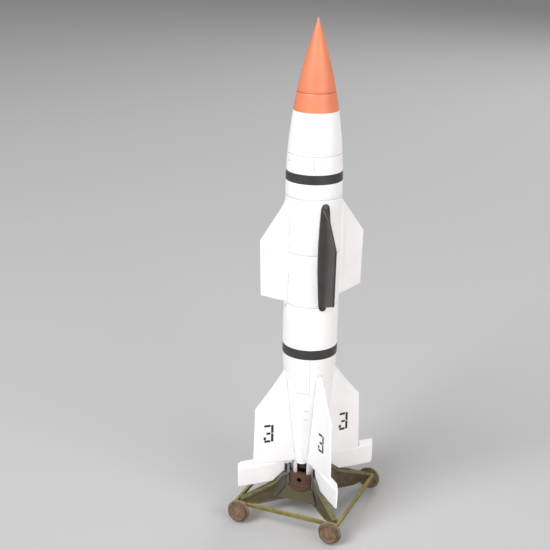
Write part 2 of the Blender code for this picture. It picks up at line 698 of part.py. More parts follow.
def leg_outline():
    """Side view of a leg: flat underside, rising tip, and a head that sweeps up to the ring."""
    points = [(LEG_INNER_R, LEG_BOTTOM_Z), (LEG_KNEE_R, LEG_BOTTOM_Z), (LEG_END_R, LEG_END_BOTTOM_Z),
              (LEG_END_R, LEG_END_TOP_Z), (LEG_FOOT_R, LEG_FOOT_Z)]
    steps = 5
    for i in range(1, steps):
        share = i / steps
        ease = (1 - math.cos(math.pi * share)) / 2
        points.append((lerp(LEG_FOOT_R, LEG_HEAD_R, share), lerp(LEG_FOOT_Z, LEG_HEAD_TOP_Z, ease)))
    return points + [(LEG_HEAD_R, LEG_HEAD_TOP_Z), (LEG_INNER_R, LEG_HEAD_TOP_Z)]


def leg_mesh():
    mesh = outline_mesh("leg", leg_outline(), LEG_HALF)
    bm = bmesh.new()
    bm.from_mesh(mesh)
    bpy.data.meshes.remove(mesh)
    for side in (-1, 1):
        flat = [face for face in bm.faces if face.normal.y * side > 0.9]
        bmesh.ops.inset_region(bm, faces=flat, thickness=FLANGE * MM, depth=0.0, use_even_offset=True)
        pushed = bmesh.ops.extrude_face_region(bm, geom=flat)
        moved = [item for item in pushed["geom"] if isinstance(item, bmesh.types.BMVert)]
        bmesh.ops.delete(bm, geom=flat, context="FACES")
        bmesh.ops.translate(bm, verts=moved, vec=(0, -side * WEB_DEPTH * MM, 0))
    return finish(bm, "leg")


def make_legs(trolley):
    olive = paint("olive paint", OLIVE, 0.65)
    steel = paint("post grey", STEEL, 0.5, 0.6)
    for number in QUARTERS:
        leg = add_part(f"leg_{number}", leg_mesh(), trolley, olive, smooth=False)
        leg.rotation_euler.z = quarter_angle(number)
        mesh = box_mesh("guide_post", (POST_INNER_R, POST_INNER_R + POST_THICK), (-POST_HALF, POST_HALF),
                        (LEG_HEAD_TOP_Z + GAP, POST_TOP_Z))
        bm = bmesh.new()
        bm.from_mesh(mesh)
        bpy.data.meshes.remove(mesh)
        tops = [edge for edge in bm.edges
                if all(v.co.z > (POST_TOP_Z - GAP) * MM for v in edge.verts)
                and abs(edge.verts[0].co.x - edge.verts[1].co.x) > GAP * MM]
        bmesh.ops.bevel(bm, geom=tops, offset=POST_ROUND * MM, segments=3, profile=0.5,
                        affect="EDGES", material=-1)
        bm.faces.ensure_lookup_table()
        bm.normal_update()
        outer = [face for face in bm.faces if face.normal.x > 0.9]
        bmesh.ops.inset_region(bm, faces=outer, thickness=POST_RIM * MM, depth=0.0, use_even_offset=True)
        grown = bmesh.ops.extrude_face_region(bm, geom=outer)
        moved = [item for item in grown["geom"] if isinstance(item, bmesh.types.BMVert)]
        bmesh.ops.delete(bm, geom=outer, context="FACES")
        bmesh.ops.translate(bm, verts=moved, vec=(-POST_POCKET * MM, 0, 0))
        post = add_part(f"guide_post_{number}", finish(bm, "guide_post"), trolley, steel, smooth=False)
        post.rotation_euler.z = quarter_angle(number)


def make_bars(trolley):
    """Bars 1 and 3 close the front and back, bars 2 and 4 run between them."""
    olive = paint("olive paint", OLIVE, 0.65)
    half = BAR_THICK / 2
    outside = BAR_CENTRE + half
    inside = BAR_CENTRE - half - GAP
    for number in QUARTERS:
        reach = outside if number % 2 else inside
        mesh = box_mesh("tie_bar", (-reach, reach), (-half, half), (BAR_BOTTOM_Z, BAR_TOP_Z))
        bar = add_part(f"tie_bar_{number}", mesh, trolley, olive, smooth=False)
        angle = (number - 1) * QUARTER_TURN
        bar.location = (BAR_CENTRE * MM * math.sin(angle), -BAR_CENTRE * MM * math.cos(angle), 0)
        bar.rotation_euler.z = angle


def bracket_y():
    """Inner and outer faces of the axle bracket, on the outside of the tie bar."""
    inner = BAR_CENTRE + BAR_THICK / 2 + GAP
    return inner, inner + BRACKET_THICK


def wheel_profile():
    """Wheel turned about its axle, from the outer face (height 0) inwards (negative)."""
    width = WHEEL_TREAD_WIDTH + WHEEL_FLANGE_WIDTH
    bore = AXLE_R + RUNNING
    lead = WHEEL_LEAD
    rim = WHEEL_TREAD_R - WHEEL_RIM
    return [
        (bore, 0.0), (WHEEL_BOSS_R, 0.0), (WHEEL_BOSS_R + WHEEL_DISH / 2, -WHEEL_DISH),
        (rim - WHEEL_DISH / 2, -WHEEL_DISH), (rim, 0.0), (WHEEL_TREAD_R - lead, 0.0),
        (WHEEL_TREAD_R, -lead), (WHEEL_TREAD_R, -WHEEL_TREAD_WIDTH),
        (WHEEL_FLANGE_R - lead, -WHEEL_TREAD_WIDTH - lead), (WHEEL_FLANGE_R, -WHEEL_TREAD_WIDTH - 2 * lead),
        (WHEEL_FLANGE_R, -width), (bore, -width),
    ]


def make_wheels(trolley):
    rust = paint("wheel brown", WHEEL_BROWN, 0.6, 0.2)
    steel = paint("steel", STEEL, 0.4, 0.9)
    olive = paint("olive paint", OLIVE, 0.65)
    inner, outer = bracket_y()
    axle_z = WHEEL_FLANGE_R
    face_y = outer + WHEEL_SIDE_GAP + WHEEL_FLANGE_WIDTH + WHEEL_TREAD_WIDTH
    for number in QUARTERS:
        x_sign = 1 if number in (1, 2) else -1
        y_sign = 1 if number in (2, 3) else -1
        frame = holder(f"axle_frame_{number}")
        frame.parent = trolley
        frame.location = (x_sign * AXLE_X * MM, 0, axle_z * MM)
        frame.rotation_euler = (math.radians(-90 * y_sign), 0, 0)
        wheel = turned(f"wheel_{number}", wheel_profile(), frame, rust, WHEEL_STEPS)
        wheel.location.z = face_y * MM
        pin_foot = inner + GAP
        shank = face_y + GAP - pin_foot
        crown = shank + PIN_HEAD
        head = [(0.0, crown), (PIN_CROWN_R, crown), (PIN_HEAD_R, shank + PIN_RIM), (PIN_HEAD_R, shank),
                (AXLE_R, shank), (AXLE_R, 0.0), (0.0, 0.0)]
        pin = turned(f"axle_pin_{number}", head, frame, steel, FINE_STEPS, closed=False)
        pin.location.z = pin_foot * MM
        base = axle_z - BRACKET_BELOW_AXLE
        top = BAR_TOP_Z
        flat = BRACKET_HALF - BRACKET_CHAMFER
        shoulder = base + BRACKET_CHAMFER
        outline = [(-BRACKET_HALF, top), (-BRACKET_HALF, shoulder), (-flat, base), (flat, base),
                   (BRACKET_HALF, shoulder), (BRACKET_HALF, top)]
        mesh = outline_mesh("axle_bracket", outline, BRACKET_THICK / 2)
        bracket = add_part(f"axle_bracket_{number}", mesh, trolley, olive, smooth=False)
        bracket.location = (x_sign * AXLE_X * MM, y_sign * (inner + outer) / 2 * MM, 0)
        bore = add_cutter(f"bracket_bore_{number}", rod_mesh(
            "bracket_bore", AXLE_R + GAP, BRACKET_THICK + 2 * WALL, FINE_STEPS), frame)
        bore.location.z = (inner - WALL) * MM
        combine(bracket, bore)


rocket_frame = holder("rocket")
trolley_frame = holder("trolley")
make_nose(rocket_frame)
make_sections(rocket_frame)
make_bands(rocket_frame)
make_wings(rocket_frame)
make_fins(rocket_frame)
make_rudders(rocket_frame)
make_nozzle(rocket_frame)
make_blisters(rocket_frame)
make_ring(trolley_frame)
make_hub(trolley_frame)
make_legs(trolley_frame)
make_bars(trolley_frame)
make_wheels(trolley_frame)
bpy.context.view_layer.update()
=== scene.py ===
import math

import bmesh
import bpy
from mathutils import Matrix, Vector


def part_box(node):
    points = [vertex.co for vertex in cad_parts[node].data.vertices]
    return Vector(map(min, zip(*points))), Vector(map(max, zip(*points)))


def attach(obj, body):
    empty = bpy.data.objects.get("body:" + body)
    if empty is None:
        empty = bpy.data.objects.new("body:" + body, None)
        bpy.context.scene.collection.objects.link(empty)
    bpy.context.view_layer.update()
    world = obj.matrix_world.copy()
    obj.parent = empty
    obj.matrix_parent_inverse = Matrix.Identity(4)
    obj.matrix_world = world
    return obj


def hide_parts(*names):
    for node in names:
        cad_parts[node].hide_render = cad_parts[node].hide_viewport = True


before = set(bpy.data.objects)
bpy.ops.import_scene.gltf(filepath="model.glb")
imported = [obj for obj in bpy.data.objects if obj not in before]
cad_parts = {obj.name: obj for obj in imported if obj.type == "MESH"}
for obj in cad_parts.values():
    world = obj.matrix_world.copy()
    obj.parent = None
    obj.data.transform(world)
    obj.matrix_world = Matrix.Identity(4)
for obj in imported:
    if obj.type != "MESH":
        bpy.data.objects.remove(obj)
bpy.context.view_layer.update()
scene = bpy.context.scene
mm = 0.001
quarters = (1, 2, 3, 4)  # copies round the axis: 1 stands at +X-Y, the rest follow anticlockwise
print("frame loaded")

# camera: a little above the fins and turned right of the front; angles in degrees, places in mm
cameraSettings = {"azimuth": 22.841, "elevation": 19.615, "roll": 0.924, "distance": 261.2,
                  "aimLeft": 8.27, "aimHeight": 58.96, "lens": 75.55, "sensor": 36, "clip": (10, 20000)}


def addCamera(settings):
    azimuth, elevation, roll = (math.radians(settings[key]) for key in ("azimuth", "elevation", "roll"))
    out = Vector((math.sin(azimuth) * math.cos(elevation), -math.cos(azimuth) * math.cos(elevation),
                  math.sin(elevation)))
    right = Vector((math.cos(azimuth), math.sin(azimuth), 0))
    up = out.cross(right)
    aim = -right * settings["aimLeft"] * mm + Vector((0, 0, settings["aimHeight"] * mm))
    turnedRight = right * math.cos(roll) + up * math.sin(roll)
    turnedUp = up * math.cos(roll) - right * math.sin(roll)
    camera = bpy.data.objects.new("camera", bpy.data.cameras.new("camera"))
    scene.collection.objects.link(camera)
    axes = Matrix((turnedRight, turnedUp, out)).transposed().to_4x4()
    camera.matrix_world = Matrix.Translation(aim + out * settings["distance"] * mm) @ axes
    camera.data.lens = settings["lens"]
    camera.data.sensor_width = settings["sensor"]
    camera.data.clip_start, camera.data.clip_end = (limit * mm for limit in settings["clip"])
    return camera


bpy.context.scene.camera = addCamera(cameraSettings)
scene.view_settings.view_transform = "Standard"  # paints show in their own colours

# big soft boxes round the model; size and place in mm, power in watts
lights = {
    "keyLight": {"place": (-300, -640, 640), "size": 500, "power": 7.4, "colour": "#FDFDFF"},
    "fillLight": {"place": (620, -330, 330), "size": 560, "power": 3.4, "colour": "#FFF8F6"},
    "backLight": {"place": (120, 660, 520), "size": 480, "power": 2.2, "colour": "#FFFFFF"},
}
room = {"floor": "#C0C0BF", "air": "#E6E6EA", "strength": 0.38, "aimHeight": 50,
        "floorSize": 6000}  # the lights' aim and the floor's side in mm


def hexColour(code):
    # sRGB hex to the linear values that nodes take
    values = [int(code[i:i + 2], 16) / 255 for i in (1, 3, 5)]
    return (*[v / 12.92 if v <= 0.04045 else ((v + 0.055) / 1.055) ** 2.4 for v in values], 1.0)


def perMm(size):
    # scale of a pattern whose features are this many mm across, on coordinates in metres
    return 1 / (size * mm)


def addNode(tree, kind, settings=None, links=None):
    node = tree.nodes.new("ShaderNode" + kind)
    for name, value in (settings or {}).items():
        if isinstance(name, str) and hasattr(node, name):
            setattr(node, name, value)
        else:
            node.inputs[name].default_value = value
    for name, socket in (links or {}).items():
        tree.links.new(socket, node.inputs[name])
    return node


def startMaterial(name, look):
    material = bpy.data.materials.new(name)
    material.use_nodes = True
    tree = material.node_tree
    shader = tree.nodes["Principled BSDF"]
    for socket, value in look.items():
        shader.inputs[socket].default_value = value
    return material, tree, shader, addNode(tree, "TexCoord").outputs["Object"]


def addGrain(tree, shader, where, settings):
    # fine unevenness of sprayed or brushed paint: bump and a little change of gloss
    grain = addNode(tree, "TexNoise", {"Scale": perMm(settings["grain"]), "Detail": 3.0}, {"Vector": where})
    bump = addNode(tree, "Bump", {"Strength": settings["bump"], "Distance": settings["depth"] * mm},
                   {"Height": grain.outputs["Fac"]})
    tree.links.new(bump.outputs["Normal"], shader.inputs["Normal"])
    cloud = addNode(tree, "TexNoise", {"Scale": perMm(settings["cloud"]), "Detail": 2.0}, {"Vector": where})
    gloss = addNode(tree, "MapRange", {"To Min": settings["gloss"][0], "To Max": settings["gloss"][1]},
                    {"Value": cloud.outputs["Fac"]})
    tree.links.new(gloss.outputs["Result"], shader.inputs["Roughness"])


def addRoom():
    for name, light in lights.items():
        lamp = bpy.data.objects.new(name, bpy.data.lights.new(name, "AREA"))
        scene.collection.objects.link(lamp)
        lamp.data.size = light["size"] * mm
        lamp.data.energy = light["power"]
        lamp.data.color = hexColour(light["colour"])[:3]
        lamp.location = Vector(light["place"]) * mm
        aim = Vector((0, 0, room["aimHeight"] * mm)) - lamp.location
        lamp.rotation_euler = aim.to_track_quat("-Z", "Y").to_euler()
    world = bpy.data.worlds.new("paleRoom")
    scene.world = world
    world.use_nodes = True
    world.node_tree.nodes["Background"].inputs["Color"].default_value = hexColour(room["air"])
    world.node_tree.nodes["Background"].inputs["Strength"].default_value = room["strength"]
    bm = bmesh.new()
    bmesh.ops.create_grid(bm, x_segments=1, y_segments=1, size=room["floorSize"] * mm / 2)
    mesh = bpy.data.meshes.new("floor")
    bm.to_mesh(mesh)
    bm.free()
    floor = bpy.data.objects.new("floor", mesh)
    scene.collection.objects.link(floor)
    # painted board, dead matt, so that no lamp shines back from it
    board = startMaterial("matteBoard", {"Base Color": hexColour(room["floor"]), "Roughness": 1.0,
                                         "Specular IOR Level": 0.1})[0]
    mesh.materials.append(board)


addRoom()
print("camera, lights and floor ready")

# enamel sprayed thinly over polystyrene: an even satin film with soft clouding, and pencil-grey
# wash in scribed lines; grain, depth and cloud in mm here and in every finish below
whiteSettings = {"base": "#F6F6F6", "cloudy": "#F0EFEF", "wash": "#A5A3A5", "washShare": 0.6,
                 "grain": 0.35, "bump": 0.25, "depth": 0.006, "cloud": 7.0, "gloss": (0.4, 0.52)}
# scribed marks on the skin: angle and half width round the axis in degrees, then middle height
# and half height in mm
skinMarks = (
    (-133.0, 5.0, 86.3, 0.13), (7.0, 5.0, 86.3, 0.13), (-68.7, 0.9, 86.1, 1.6), (-67.0, 0.55, 36.1, 4.8),
    (-84.0, 14.0, 32.0, 0.08), (-73.0, 7.0, 27.4, 0.08), (-73.0, 7.0, 25.1, 0.08), (113.0, 0.8, 36.1, 4.8),
    (96.0, 14.0, 32.0, 0.08), (107.0, 7.0, 25.1, 0.08), (111.3, 0.8, 86.1, 1.6),
)


def makeWhite(name, settings, marks=()):
    material, tree, shader, where = startMaterial(
        name, {"IOR": 1.5, "Coat Weight": 0.08, "Coat Roughness": 0.3})
    cloud = addNode(tree, "TexNoise", {"Scale": perMm(settings["cloud"]), "Detail": 3.0}, {"Vector": where})
    soft = addNode(tree, "MapRange", {"From Min": 0.42, "From Max": 0.75}, {"Value": cloud.outputs["Fac"]})
    colour = addNode(tree, "Mix", {"data_type": "RGBA", 6: hexColour(settings["base"]),
                                   7: hexColour(settings["cloudy"])}, {0: soft.outputs["Result"]}).outputs[2]
    if marks:
        axes = addNode(tree, "SeparateXYZ", {}, {0: where})
        angle = addNode(tree, "Math", {"operation": "ARCTAN2"}, {0: axes.outputs["Y"], 1: axes.outputs["X"]})
        total = None
        for degrees, halfWidth, height, halfHeight in marks:
            around = addNode(tree, "Math", {"operation": "COMPARE", 1: math.radians(degrees),
                                            2: math.radians(halfWidth)}, {0: angle.outputs[0]})
            along = addNode(tree, "Math", {"operation": "COMPARE", 1: height * mm, 2: halfHeight * mm},
                            {0: axes.outputs["Z"]})
            mark = addNode(tree, "Math", {"operation": "MULTIPLY"},
                           {0: around.outputs[0], 1: along.outputs[0]})
            if total:
                mark = addNode(tree, "Math", {"operation": "MAXIMUM"},
                               {0: total.outputs[0], 1: mark.outputs[0]})
            total = mark
        faint = addNode(tree, "Math", {"operation": "MULTIPLY", 1: settings["washShare"]},
                        {0: total.outputs[0]})
        colour = addNode(tree, "Mix", {"data_type": "RGBA", 7: hexColour(settings["wash"])},
                         {0: faint.outputs[0], 6: colour}).outputs[2]
    tree.links.new(colour, shader.inputs["Base Color"])
    addGrain(tree, shader, where, settings)
    return material


# two tones of paint that drift into each other over so many mm, for the plainer finishes
plainSettings = {
    # thinned grey-brown wash that stays in a scribed line, dull
    "panelWash": {"tones": ("#D0CFCF", "#C2C0C1"), "size": 1.5, "grain": 0.2, "bump": 0.1, "depth": 0.004,
                  "cloud": 2.0, "gloss": (0.6, 0.7)},
    # wash darkened with painted shade of the root crease, where the front fin meets the hull
    "rootWashShade": {"tones": ("#ABAAAE", "#9A999E"), "size": 1.5, "grain": 0.2, "bump": 0.1, "depth": 0.004,
                 "cloud": 2.0, "gloss": (0.6, 0.7)},
    # orange-red lead colour, sprayed satin: warm highlight and a faintly chalky drift
    "salmonEnamel": {"tones": ("#E78B64", "#E0825B"), "size": 5.0, "grain": 0.3, "bump": 0.25, "depth": 0.006,
                     "cloud": 5.0, "gloss": (0.4, 0.5)},
    # the same lead colour under a brown wash, in the cone's scribed line
    "salmonWash": {"tones": ("#B9553A", "#A94A32"), "size": 5.0, "grain": 0.3, "bump": 0.25, "depth": 0.006,
                   "cloud": 5.0, "gloss": (0.4, 0.5)},
    # dark grey satin enamel, nearly black, with a soft sheen on the wing's crown
    "charcoalEnamel": {"tones": ("#2E2C2A", "#393735"), "size": 3.0, "grain": 0.25, "bump": 0.3, "depth": 0.006,
                       "cloud": 3.0, "gloss": (0.36, 0.46)},
    # black decal film under matt varnish
    "decalInk": {"tones": ("#17171A", "#222225"), "size": 0.8, "grain": 0.2, "bump": 0.1, "depth": 0.003,
                 "cloud": 1.5, "gloss": (0.5, 0.6)},
    # scorched metal of the nozzle: purplish black, matt; the same paint is the painted shade on the ring's
    # vent-hole walls
    "scorchedSteelAndHoleShade": {"tones": ("#2B2528", "#3B3130"), "size": 0.9, "grain": 0.2, "bump": 0.4, "depth": 0.01,
                      "cloud": 1.0, "gloss": (0.55, 0.75)},
    # painted shade, black-brown, on the guide posts' faces towards and away from the tail
    "postShadow": {"tones": ("#2A2625", "#3C3632"), "size": 0.7, "grain": 0.2, "bump": 0.3, "depth": 0.008,
                   "cloud": 1.0, "gloss": (0.55, 0.7)},
    # pale grey paint on the posts' sides, brushed thin
    "postGrey": {"tones": ("#98999B", "#7A7B7D"), "size": 0.8, "grain": 0.2, "bump": 0.3, "depth": 0.008,
                 "cloud": 1.0, "gloss": (0.45, 0.6)},
}


def makePlain(name, settings):
    material, tree, shader, where = startMaterial(name, {"IOR": 1.5})
    drift = addNode(tree, "TexNoise", {"Scale": perMm(settings["size"]), "Detail": 4.0}, {"Vector": where})
    spread = addNode(tree, "MapRange", {"From Min": 0.35, "From Max": 0.65}, {"Value": drift.outputs["Fac"]})
    colour = addNode(tree, "Mix", {"data_type": "RGBA", 6: hexColour(settings["tones"][0]),
                                   7: hexColour(settings["tones"][1])}, {0: spread.outputs["Result"]})
    tree.links.new(colour.outputs[2], shader.inputs["Base Color"])
    addGrain(tree, shader, where, settings)
    return material


# brushed and dry-brushed vehicle paint, mottled, with painted light and shade by facing: one tone on the sides,
# another on faces that look up; small chips; near the axis, where the legs carry the ring, the paint greys to
# "heads"
weathering = {"greyFrom": 8.6, "greyFull": 6.4, "chipFade": 0.05}  # the first two in mm from the axis
weatheredSettings = {
    "oliveWeathered": {"side": ("#6D6648", "#59533C"), "top": ("#736D4B", "#635E41"), "chip": "#43311F",
                       "chipSize": 0.55, "chipFrom": 0.62, "mottle": 1.8, "grain": 0.15, "bump": 0.45,
                       "depth": 0.012, "cloud": 1.2, "gloss": (0.55, 0.75), "heads": "#6F706C"},
    "oliveWornEdge": {"side": ("#736C4E", "#625A42"), "top": ("#7F7955", "#706A4B"), "chip": "#57442D",
                      "chipSize": 0.4, "chipFrom": 0.6, "mottle": 0.8, "grain": 0.15, "bump": 0.3,
                      "depth": 0.008, "cloud": 1.0, "gloss": (0.5, 0.65), "heads": "#7B7C78"},
    # painted shade of the legs' web and lower flange, under the upper flange
    "oliveRecessShade": {"side": ("#5D5340", "#514735"), "top": ("#6B6446", "#5B543B"), "chip": "#42372A",
                    "chipSize": 0.7, "chipFrom": 0.66, "mottle": 1.3, "grain": 0.15, "bump": 0.4,
                    "depth": 0.012, "cloud": 1.2, "gloss": (0.65, 0.8), "heads": "#625F57"},
    "hubOlive": {"side": ("#4B4633", "#3E3927"), "top": ("#555038", "#46412C"), "chip": "#4B3B2A",
                 "chipSize": 0.5, "chipFrom": 0.66, "mottle": 1.6, "grain": 0.15, "bump": 0.4,
                 "depth": 0.012, "cloud": 1.2, "gloss": (0.6, 0.75), "heads": "#4F4A33"},
    "barYellow": {"side": ("#857A42", "#6C6237"), "top": ("#958A48", "#827741"), "chip": "#59432A",
                  "chipSize": 0.5, "chipFrom": 0.63, "mottle": 1.5, "grain": 0.15, "bump": 0.4,
                  "depth": 0.01, "cloud": 1.2, "gloss": (0.5, 0.7), "heads": "#958A48"},
    "ringRust": {"side": ("#533E30", "#423226"), "top": ("#695646", "#574638"), "chip": "#35241B",
                 "chipSize": 0.5, "chipFrom": 0.64, "mottle": 1.0, "grain": 0.15, "bump": 0.5,
                 "depth": 0.012, "cloud": 1.0, "gloss": (0.6, 0.8), "heads": "#5C4536"},
    "wheelTan": {"side": ("#836C57", "#715D4B"), "top": ("#786650", "#675541"), "chip": "#664C3B",
                 "chipSize": 0.45, "chipFrom": 0.66, "mottle": 0.9, "grain": 0.15, "bump": 0.4,
                 "depth": 0.01, "cloud": 1.0, "gloss": (0.55, 0.7), "heads": "#836C57"},
    "wheelOlive": {"side": ("#80755F", "#6E634D"), "top": ("#8A8266", "#777055"), "chip": "#44351F",
                   "chipSize": 0.45, "chipFrom": 0.6, "mottle": 0.9, "grain": 0.15, "bump": 0.4,
                   "depth": 0.01, "cloud": 1.0, "gloss": (0.55, 0.75), "heads": "#80755F"},
    "wheelShade": {"side": ("#70594A", "#5F4A3A"), "top": ("#7A6650", "#685542"), "chip": "#33241A",
                   "chipSize": 0.45, "chipFrom": 0.64, "mottle": 0.9, "grain": 0.15, "bump": 0.4,
                   "depth": 0.01, "cloud": 1.0, "gloss": (0.55, 0.75), "heads": "#70594A"},
}


def makeWeatheredAndLit(name, settings):
    material, tree, shader, where = startMaterial(name, {"IOR": 1.5, "Specular IOR Level": 0.3})
    mottle = addNode(tree, "TexNoise", {"Scale": perMm(settings["mottle"]), "Detail": 4.0, "Roughness": 0.6},
                     {"Vector": where})
    blotch = addNode(tree, "MapRange", {"From Min": 0.38, "From Max": 0.62}, {"Value": mottle.outputs["Fac"]})
    pairs = [addNode(tree, "Mix", {"data_type": "RGBA", 6: hexColour(settings[key][0]),
                                   7: hexColour(settings[key][1])}, {0: blotch.outputs["Result"]}).outputs[2]
             for key in ("side", "top")]
    level = addNode(tree, "VectorMath", {"operation": "MULTIPLY", 1: (1, 1, 0)}, {0: where})
    reach = addNode(tree, "VectorMath", {"operation": "LENGTH"}, {0: level.outputs[0]})
    near = addNode(tree, "MapRange", {"From Min": weathering["greyFrom"] * mm,
                                      "From Max": weathering["greyFull"] * mm},
                   {"Value": reach.outputs["Value"]})
    facing = addNode(tree, "SeparateXYZ", {}, {0: addNode(tree, "NewGeometry").outputs["Normal"]})
    # painted light and shade by facing: faces that look up take the "top" tones, the rest the "side" tones
    upFacingLight = addNode(tree, "MapRange", {"From Min": 0.25, "From Max": 0.75}, {"Value": facing.outputs["Z"]})
    paint = addNode(tree, "Mix", {"data_type": "RGBA"},
                    {0: upFacingLight.outputs["Result"], 6: pairs[0], 7: pairs[1]})
    colour = addNode(tree, "Mix", {"data_type": "RGBA", 7: hexColour(settings["heads"])},
                     {0: near.outputs["Result"], 6: paint.outputs[2]})
    chips = addNode(tree, "TexNoise", {"Scale": perMm(settings["chipSize"]), "Detail": 2.0}, {"Vector": where})
    chipped = addNode(tree, "MapRange", {"From Min": settings["chipFrom"],
                                         "From Max": settings["chipFrom"] + weathering["chipFade"]},
                      {"Value": chips.outputs["Fac"]})
    colour = addNode(tree, "Mix", {"data_type": "RGBA", 7: hexColour(settings["chip"])},
                     {0: chipped.outputs["Result"], 6: colour.outputs[2]})
    tree.links.new(colour.outputs[2], shader.inputs["Base Color"])
    addGrain(tree, shader, where, settings)
    return material


# turned steel of the small pins: bright, with turning marks drawn coarse enough to show
pinSettings = {"tone": "#8D8C8A", "rough": 0.35, "markGap": 0.2367, "bump": 0.3, "depth": 0.004}
waveLength = math.tau / 20  # between two crests of the wave texture at a scale of one


def makePinSteel(settings):
    material, tree, shader, where = startMaterial("pinSteel", {
        "Base Color": hexColour(settings["tone"]), "Metallic": 1.0, "Roughness": settings["rough"]})
    rings = addNode(tree, "TexWave", {"Scale": perMm(settings["markGap"]) * waveLength, "Distortion": 0.4},
                    {"Vector": where})
    bump = addNode(tree, "Bump", {"Strength": settings["bump"], "Distance": settings["depth"] * mm},
                   {"Height": rings.outputs["Fac"]})
    tree.links.new(bump.outputs["Normal"], shader.inputs["Normal"])
    return material


skinWhite = makeWhite("skinWhite", whiteSettings, skinMarks)
panelWhite = makeWhite("panelWhite", whiteSettings)
plain = {name: makePlain(name, settings) for name, settings in plainSettings.items()}
weathered = {name: makeWeatheredAndLit(name, settings) for name, settings in weatheredSettings.items()}
pinSteel = makePinSteel(pinSettings)
print("materials ready")


def finishPiece(name, bm, materials, body, nodes, sharp=35, weighted=False):
    # turn a bmesh into a shown piece that rides with its body and stands for its CAD nodes
    mesh = bpy.data.meshes.new(name)
    bm.to_mesh(mesh)
    bm.free()
    for material in materials:
        mesh.materials.append(material)
    mesh.shade_smooth()
    mesh.set_sharp_from_angle(angle=math.radians(sharp))
    piece = bpy.data.objects.new(name, mesh)
    scene.collection.objects.link(piece)
    if weighted:
        normals = piece.modifiers.new("evenNormals", "WEIGHTED_NORMAL")
        normals.keep_sharp = True
    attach(piece, body)
    if nodes:
        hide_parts(*nodes)
    return piece


def closeUp(bm, gap=0.0002):
    # join points that lie within the gap, in mm, and turn every face outwards
    bmesh.ops.remove_doubles(bm, verts=bm.verts, dist=gap * mm)
    bmesh.ops.recalc_face_normals(bm, faces=bm.faces)


def spinProfile(profile, segments, closed=True):
    # profile points are (radius, height) in mm, turned once round Z
    bm = bmesh.new()
    verts = [bm.verts.new((radius * mm, 0, height * mm)) for radius, height in profile]
    edges = [bm.edges.new(pair) for pair in zip(verts, verts[1:])]
    if closed:
        edges.append(bm.edges.new((verts[-1], verts[0])))
    bmesh.ops.spin(bm, geom=verts + edges, cent=(0, 0, 0), axis=(0, 0, 1), angle=math.tau, steps=segments,
                   use_merge=True, use_normal_flip=False, use_duplicate=False)
    closeUp(bm)
    return bm


def quarterTurn(number):
    return Matrix.Rotation(math.radians(90 * (number - 1) - 45), 4, "Z")


def lerp(low, high, share):
    return low + (high - low) * share


def clamp01(value):
    return min(max(value, 0.0), 1.0)


# the rocket's skin: heights and radii in mm, from the tip down
hull = {"tip": 116.5, "shoulder": 80.0, "radius": 6.3, "taperStart": 42.0, "base": 13.1, "baseRadius": 3.63,
        "taperPower": 1.3, "wall": 0.9, "seam": 0.012, "segments": 144, "step": 0.8, "innerEvery": 6,
        "noseJoint": 97.0, "forwardJoint": 77.6, "aftJoint": 52.6, "noseHollow": 4,
        "bluntRadius": 0.22, "bluntDepth": 0.4, "bluntCap": ((0, 0), (0.45, 0.12), (0.82, 0.5)),
        "rimWidth": 0.05, "rimDrop": 0.02,  # a small chamfer at each top catches a line of light
        "lines": (101.05, 87.8, 78.25, 65.6, 53.4), "lineHalf": 0.08, "lineDepth": 0.025,
        "lineShape": ((1, 0), (0.45, 1), (-0.45, 1), (-1, 0)),  # shares of half width and depth
        "upperBand": (81.75, 83.85), "lowerBand": (40.8, 43.1), "bandProud": 0.02, "bandDepth": 0.2,
        "bandRows": 4}


def hullRadius(z):
    # tangent ogive above the shoulder, straight, then a power taper to the tail
    if z > hull["shoulder"]:
        length = hull["tip"] - hull["shoulder"]
        arc = (hull["radius"] ** 2 + length ** 2) / (2 * hull["radius"])
        return max(hull["radius"] - arc + math.sqrt(arc ** 2 - (z - hull["shoulder"]) ** 2), 0.0)
    share = max(hull["taperStart"] - z, 0) / (hull["taperStart"] - hull["base"])
    return hull["radius"] - (hull["radius"] - hull["baseRadius"]) * share ** hull["taperPower"]


def hullSide(top, bottom):
    # outer side as (radius, height) from the top down, with a shallow groove at each panel line
    depths = {top: 0, bottom: 0}
    count = max(int((top - bottom) / hull["step"]), 1)
    for i in range(1, count):
        depths[lerp(top, bottom, i / count)] = 0
    for line in hull["lines"]:
        if bottom < line < top:
            clear = 3 * hull["lineHalf"]  # no even step lies this near to a line
            for z in [z for z in depths if abs(z - line) < clear and z not in (top, bottom)]:
                del depths[z]
            for offset, depth in hull["lineShape"]:
                depths[line + offset * hull["lineHalf"]] = depth * hull["lineDepth"]
    return [(hullRadius(z) - depths[z], z) for z in sorted(depths, reverse=True)]


def washLines(bm):
    # the floor and walls of each scribed line hold the wash, slot 1
    for face in bm.faces:
        middle = face.calc_center_median() / mm
        if any(abs(middle.z - line) < hull["lineHalf"] for line in hull["lines"]):
            outside = hullRadius(middle.z) - hull["wall"] / 2
            face.material_index = int(math.hypot(middle.x, middle.y) > outside)


